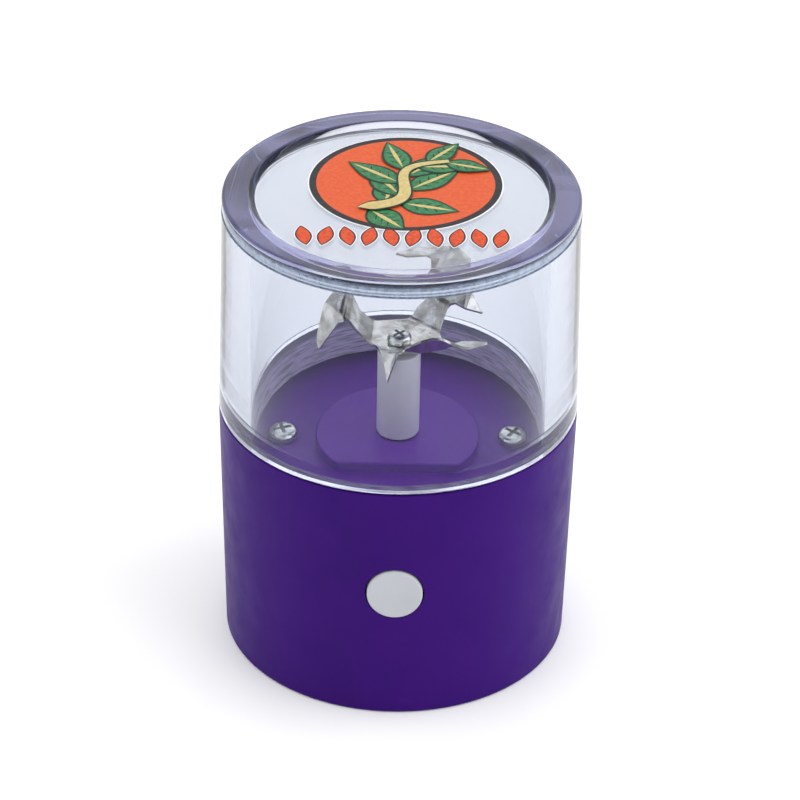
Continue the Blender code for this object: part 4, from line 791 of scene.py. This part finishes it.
def build_deck(materials):
    low = DECK_TOP - DECK_THICKNESS
    profile = [(0, low), (29.0, low), (29.3, low + 0.3), (29.3, DECK_TOP - 0.2), (29.1, DECK_TOP), (0, DECK_TOP)]
    deck = piece("deck_disc", turned("deck_disc", profile, 192), materials["deck"], "base", ["deck_plate"])
    holes = [prism("hole", circle(1.6, 32, (side * DECK_SCREW_X, 0)), 35, 42) for side in (-1, 1)]
    motor_pocket = flatted_circle(12.4, 9.5)
    bake_booleans(deck, [*holes, prism("pocket", motor_pocket, 35, 42)])
    boss = prism("deck_boss", boss_outline(), DECK_TOP - 0.5, BOSS_TOP)
    boss = piece("deck_boss", boss, materials["deck"], "base")
    bake_booleans(boss, [prism("pocket", motor_pocket, 35, 38.5), prism("hole", circle(3.35, 48), 35, 42)])
    add_bevel(boss, 0.35, 4, 40)


def pan_screw(node, body, place, turn_deg, material, head_radius, head_height, shank_radius, shank_length):
    """A pan-head screw with a cross recess, a rounded head and a ridged shank."""
    pitch = shank_radius * 0.8
    steps_per_ridge = 6
    steps = int((shank_length - 1.5) / pitch * steps_per_ridge)
    profile = [(0, -shank_length), (shank_radius * 0.4, -shank_length)]
    for i in range(steps + 1):
        on_crest = i % steps_per_ridge == steps_per_ridge // 2
        radius = shank_radius if on_crest else shank_radius * 0.78
        profile.append((radius, 0.9 - shank_length + pitch * i / steps_per_ridge))
    profile += [(shank_radius * 0.9, -0.2), (shank_radius * 0.9, 0), (head_radius - 0.12, 0), (head_radius, 0.12)]
    for x, y in arc(0, 0, 1.0, 8, 62, 9):
        profile.append((head_radius * x ** 0.4, head_height * (0.25 + 0.75 * y)))
    profile += [(head_radius * 0.5, head_height), (0, head_height)]
    name = f"{node}_fine"
    screw = piece(name, turned(name, profile, 64, place), material, body, [node])
    spin = place @ Matrix.Rotation(math.radians(turn_deg), 4, "Z")
    cross = cross_outline(head_radius * 1.2, head_radius * 0.26)
    bake_booleans(screw, [prism("recess", cross, head_height * 0.3, head_height + 1, spin)])
    add_bevel(screw, 0.06, 2, 35)


def build_screws(materials):
    for name, side, turn in (("deck_screw_left", -1, 22), ("deck_screw_right", 1, 51)):
        place = shift(side * DECK_SCREW_X, 0, DECK_TOP + CLEARANCE)
        pan_screw(
            name, "base", place, turn, materials["zinc"],
            head_radius=2.85, head_height=1.6, shank_radius=1.2, shank_length=13.5,
        )
    place = shift(0, 0, BLADE_Z + BLADE_SHEET / 2 + CLEARANCE)
    pan_screw(
        "blade_screw", "rotor", place, 40, materials["zinc"],
        head_radius=2.15, head_height=1.5, shank_radius=1.0, shank_length=7.0,
    )


def build_sleeve(materials):
    """A tube with rounded ends. The motor shaft fits in it from below, and the blade's screw from above."""
    shaft_bore = 1.3
    screw_bore = 1.4
    low = SLEEVE_BOTTOM
    top = SLEEVE_TOP
    outer = SLEEVE_RADIUS
    profile = [(shaft_bore, low), (outer - 0.3, low), (outer - 0.1, low + 0.07), (outer, low + 0.3)]
    profile += [(outer, top - 0.3), (outer - 0.1, top - 0.08), (outer - 0.3, top)]
    profile += [(screw_bore + 0.1, top), (screw_bore, top - 0.1), (screw_bore, top - 6.2), (0, top - 6.2)]
    profile += [(0, top - 7.2), (shaft_bore, top - 7.2)]
    piece("sleeve", turned("sleeve", profile, 96), materials["white"], "rotor", ["shaft_sleeve"])


def build_button(materials):
    """A round cap with a flange behind the wall, a rounded edge and a face dished by a tenth of a millimetre."""
    edge = 0.4
    dish = 0.1
    profile = [(0, 24.2), (1.6, 24.2), (1.6, 26.4), (6.0, 26.4), (6.0, 27.2), (BUTTON_RADIUS, 27.2)]
    profile += arc(BUTTON_RADIUS - edge, BUTTON_FACE - edge, edge, 0, 80, 8)
    for i in range(1, 8):
        radius = (BUTTON_RADIUS - edge) * (1 - i / 8)
        profile.append((radius, BUTTON_FACE - dish + dish * (radius / (BUTTON_RADIUS - edge)) ** 2))
    profile += [(0, BUTTON_FACE - dish)]
    mesh = turned("button_cap", profile, 96, shift(0, 0, BUTTON_Z) @ FACING_FRONT)
    piece("button_cap", mesh, materials["button"], "button", ["power_button"])


# The blade is one stamped sheet: a hub plate with a hole, and four arms bent out of it. Corners are
# (x, y, height over the hub). Arm a points left and up and its end is folded down. Arm b points back
# and up and ends in two wings. Arm c stands on edge along the hub's front and twists out to the
# right. Arm d is folded down at the front.

BLADE_CORNERS = {
    "a0": (-5.1, 0.0, 0.0), "a1": (-4.75, 6.7, 0.0), "a2": (-7.6, 0.0, 2.3), "a3": (-7.3, 6.7, 2.2),
    "a4": (-9.0, 0.0, 4.5), "a5": (-8.6, 6.9, 5.1), "a6": (-10.1, 0.0, 5.1), "a7": (-9.4, 7.2, 6.4),
    "a8": (-11.0, 0.8, 5.3), "a9": (-11.5, 7.5, 6.2), "a10": (-13.4, 3.8, 5.2), "a11": (-11.0, 0.3, 3.1),
    "a12": (-14.7, 1.5, -0.6), "a13": (-12.9, 0.6, 0.0), "a14": (-14.1, 0.7, -1.9),
    "b0": (7.1, 4.0, 0.0), "b1": (2.0, 7.8, 0.0), "b2": (7.8, 5.2, 2.0), "b3": (3.3, 9.2, 1.6),
    "b4": (8.4, 6.2, 3.2), "b5": (4.9, 9.9, 2.9), "b6": (9.4, 7.0, 4.1), "b7": (6.4, 10.6, 4.1),
    "b8": (11.6, 4.6, 4.3), "b9": (12.7, 8.5, 5.6), "b10": (14.9, 6.4, 2.3), "b11": (12.8, 13.3, 5.7),
    "b12": (8.8, 15.9, 5.8), "b13": (5.3, 14.2, 5.7), "b14": (3.25, 17.2, 5.8), "b15": (1.0, 13.6, 5.7),
    "b16": (-0.9, 14.8, 5.6),
    "c0": (0.9, -3.0, 0.0), "c1": (3.6, -3.3, 0.0), "c2": (5.6, -2.5, 0.0), "c3": (7.4, -1.4, 0.0),
    "c4": (1.0, -3.5, 1.1), "c5": (3.6, -4.2, 2.9), "c6": (5.6, -4.0, 3.4), "c7": (7.4, -3.6, 3.2),
    "c8": (9.2, -0.6, 0.1), "c9": (9.1, -3.6, 2.2), "c10": (11.4, 0.2, 0.3), "c11": (11.4, -4.4, 1.8),
    "c12": (15.25, -2.6, 1.9),
    "d0": (-3.3, -2.4, 0.0), "d1": (-0.9, -3.9, 0.0), "d2": (-2.3, -5.0, -2.1), "d3": (-1.9, -7.2, -3.4),
}
BLADE_HUB = "b0 b1 a1 a0 d0 d1 c0 c1 c2 c3"
BLADE_PANELS = (
    "a0 a1 a3 a2", "a2 a3 a5 a4", "a4 a5 a7 a6", "a6 a7 a9 a8", "a8 a9 a10", "a6 a8 a11",
    "a8 a10 a12 a11", "a11 a12 a13", "a13 a12 a14",
    "b0 b2 b3 b1", "b2 b4 b5 b3", "b4 b6 b7 b5", "b6 b8 b9", "b6 b9 b7", "b7 b9 b11 b12",
    "b7 b12 b13", "b13 b12 b14", "b13 b14 b15", "b15 b14 b16", "b8 b10 b9",
    "c0 c4 c5 c1", "c1 c5 c6 c2", "c2 c6 c7 c3", "c3 c7 c9 c8", "c8 c9 c11 c10", "c10 c11 c12",
    "d0 d2 d1", "d1 d2 d3",
)


def blade_sheet():
    bm = bmesh.new()
    verts = {name: bm.verts.new((x, y, z + BLADE_Z)) for name, (x, y, z) in BLADE_CORNERS.items()}
    for panel in BLADE_PANELS:
        bm.faces.new([verts[name] for name in panel.split()])
    hub = [verts[name] for name in BLADE_HUB.split()]
    hole = [bm.verts.new((*polar(BLADE_HOLE_RADIUS, math.atan2(v.co.y, v.co.x)), BLADE_Z)) for v in hub]
    for i in range(len(hub)):
        j = (i + 1) % len(hub)
        bm.faces.new((hole[i], hub[i], hub[j], hole[j]))
    return finish_mesh("blade_sheet", bm, sharp_deg=60)


def build_blade(materials):
    """Rounds the folds first, then gives the sheet its thickness and breaks its edges."""
    blade = piece("blade_sheet", blade_sheet(), materials["steel"], "rotor", ["blade"])
    folds = blade.modifiers.new("folds", "BEVEL")
    folds.width = 0.8 * MM
    folds.segments = 4
    folds.limit_method = "ANGLE"
    folds.angle_limit = math.radians(12)
    sheet = blade.modifiers.new("sheet", "SOLIDIFY")
    sheet.thickness = BLADE_SHEET * MM
    sheet.offset = 0
    edge = blade.modifiers.new("edge", "BEVEL")
    edge.width = 0.07 * MM
    edge.segments = 2
    edge.limit_method = "ANGLE"
    edge.angle_limit = math.radians(50)
    edge.harden_normals = True


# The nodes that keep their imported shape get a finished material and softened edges

KEPT_NODES = {
    "cup_seal": ("seal", 0.1),
    "blade_washer": ("zinc", 0.05),
    "motor_can": ("can", 0.25),
    "motor_end_cap": ("nylon", 0.2),
    "motor_bush_front": ("bronze", 0.08),
    "motor_bush_rear": ("bronze", 0.08),
    "motor_magnet_left": ("ferrite", 0.2),
    "motor_magnet_right": ("ferrite", 0.2),
    "motor_terminal_left": ("brass", 0.08),
    "motor_terminal_right": ("brass", 0.08),
    "motor_brush_left": ("carbon", 0.1),
    "motor_brush_right": ("carbon", 0.1),
    "motor_shaft": ("steel", 0.1),
    "commutator": ("copper", 0.1),
    "armature_core": ("core", 0.1),
    "armature_coil_1": ("copper", 0.4),
    "armature_coil_2": ("copper", 0.4),
    "armature_coil_3": ("copper", 0.4),
    "switch_body": ("switch", 0.15),
    "switch_plunger": ("nylon", 0.15),
    "switch_board": ("board", 0.1),
    "battery_pack": ("pouch", 0.2),
    "charge_board": ("board", 0.1),
    "charge_chip": ("chip", 0.12),
    "charge_led": ("led", 0.1),
    "charge_socket": ("zinc", 0.1),
    "socket_tongue": ("chip", 0.1),
    "motor_lead_negative": ("lead_black", 0.0),
    "motor_lead_positive": ("lead_red", 0.0),
    "battery_lead_negative": ("lead_black", 0.0),
    "battery_lead_positive": ("lead_red", 0.0),
    "supply_lead_negative": ("lead_black", 0.0),
    "supply_lead_positive": ("lead_red", 0.0),
}


def finish_kept_nodes(materials):
    for name, (material, bevel) in KEPT_NODES.items():
        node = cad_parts[name]
        node.data.materials.clear()
        node.data.materials.append(materials[material])
        if bevel:
            add_bevel(node, bevel, 2, 35)


# The set


def build_floor():
    half = 3000
    bm = bmesh.new()
    corners = ((-half, -half), (half, -half), (half, half), (-half, half))
    bm.faces.new([bm.verts.new((x, y, 0)) for x, y in corners])
    mesh = finish_mesh("floor", bm)
    floor = bpy.data.objects.new("floor", mesh)
    bpy.context.scene.collection.objects.link(floor)
    recipe = Recipe("floor_paper", (0.97, 0.97, 0.97), 0.9, specular=0.0)
    recipe.vary_color(recipe.remap(recipe.noise(60, detail=2), 0.4, 0.6), (0.96, 0.96, 0.96))
    floor.data.materials.append(recipe.material)


def build_light():
    """An even white world and four square lamps, given by place and size in metres and power in watts."""
    world = bpy.data.worlds.new("studio")
    world.use_nodes = True
    background = world.node_tree.nodes["Background"]
    background.inputs["Color"].default_value = (1.0, 1.0, 1.0, 1.0)
    background.inputs["Strength"].default_value = 0.78
    bpy.context.scene.world = world
    lamps = (
        ("top", (0.0, 0.2, 1.1), 1.1, 3.0),
        ("left", (-0.8, -0.1, 0.5), 1.1, 3.0),
        ("right", (0.8, -0.15, 0.45), 1.2, 7.2),
        ("back", (0.0, 0.75, 0.5), 0.6, 1.1),
    )
    for name, place, size, power in lamps:
        light = bpy.data.lights.new(name, "AREA")
        light.size = size
        light.energy = power
        lamp = bpy.data.objects.new(name, light)
        bpy.context.scene.collection.objects.link(lamp)
        lamp.location = place
        aim = Vector((0, 0, 0.04)) - Vector(place)
        lamp.rotation_euler = aim.to_track_quat("-Z", "Y").to_euler()


def build_camera():
    """A long lens that looks down at the front, with a slight roll."""
    elevation = math.radians(32.4)
    distance = 0.6574
    roll = 0.0185
    target = Vector((0, 0, 0.04095))
    place = target + Vector((0, -distance * math.cos(elevation), distance * math.sin(elevation)))
    data = bpy.data.cameras.new("camera")
    data.sensor_width = 36
    data.lens = 167.76
    data.shift_x = 0.0027
    data.shift_y = 0.0281
    data.clip_start = 0.01
    data.clip_end = 50
    camera = bpy.data.objects.new("camera", data)
    bpy.context.scene.collection.objects.link(camera)
    facing = (target - place).to_track_quat("-Z", "Y").to_matrix().to_4x4()
    camera.matrix_world = Matrix.Translation(place) @ facing @ Matrix.Rotation(roll, 4, "Z")
    bpy.context.scene.camera = camera


def render_look():
    """Plain view transform, and enough bounces for light to pass the clear cup several times."""
    scene = bpy.context.scene
    scene.view_settings.view_transform = "Standard"
    scene.cycles.max_bounces = 24
    scene.cycles.transmission_bounces = 24
    scene.cycles.transparent_max_bounces = 24
    scene.cycles.glossy_bounces = 12


def main():
    build_camera()
    materials = make_materials()
    build_cup(materials)
    build_label(materials)
    build_shell(materials)
    build_deck(materials)
    build_screws(materials)
    build_sleeve(materials)
    build_button(materials)
    build_blade(materials)
    finish_kept_nodes(materials)
    build_floor()
    build_light()
    render_look()


main()
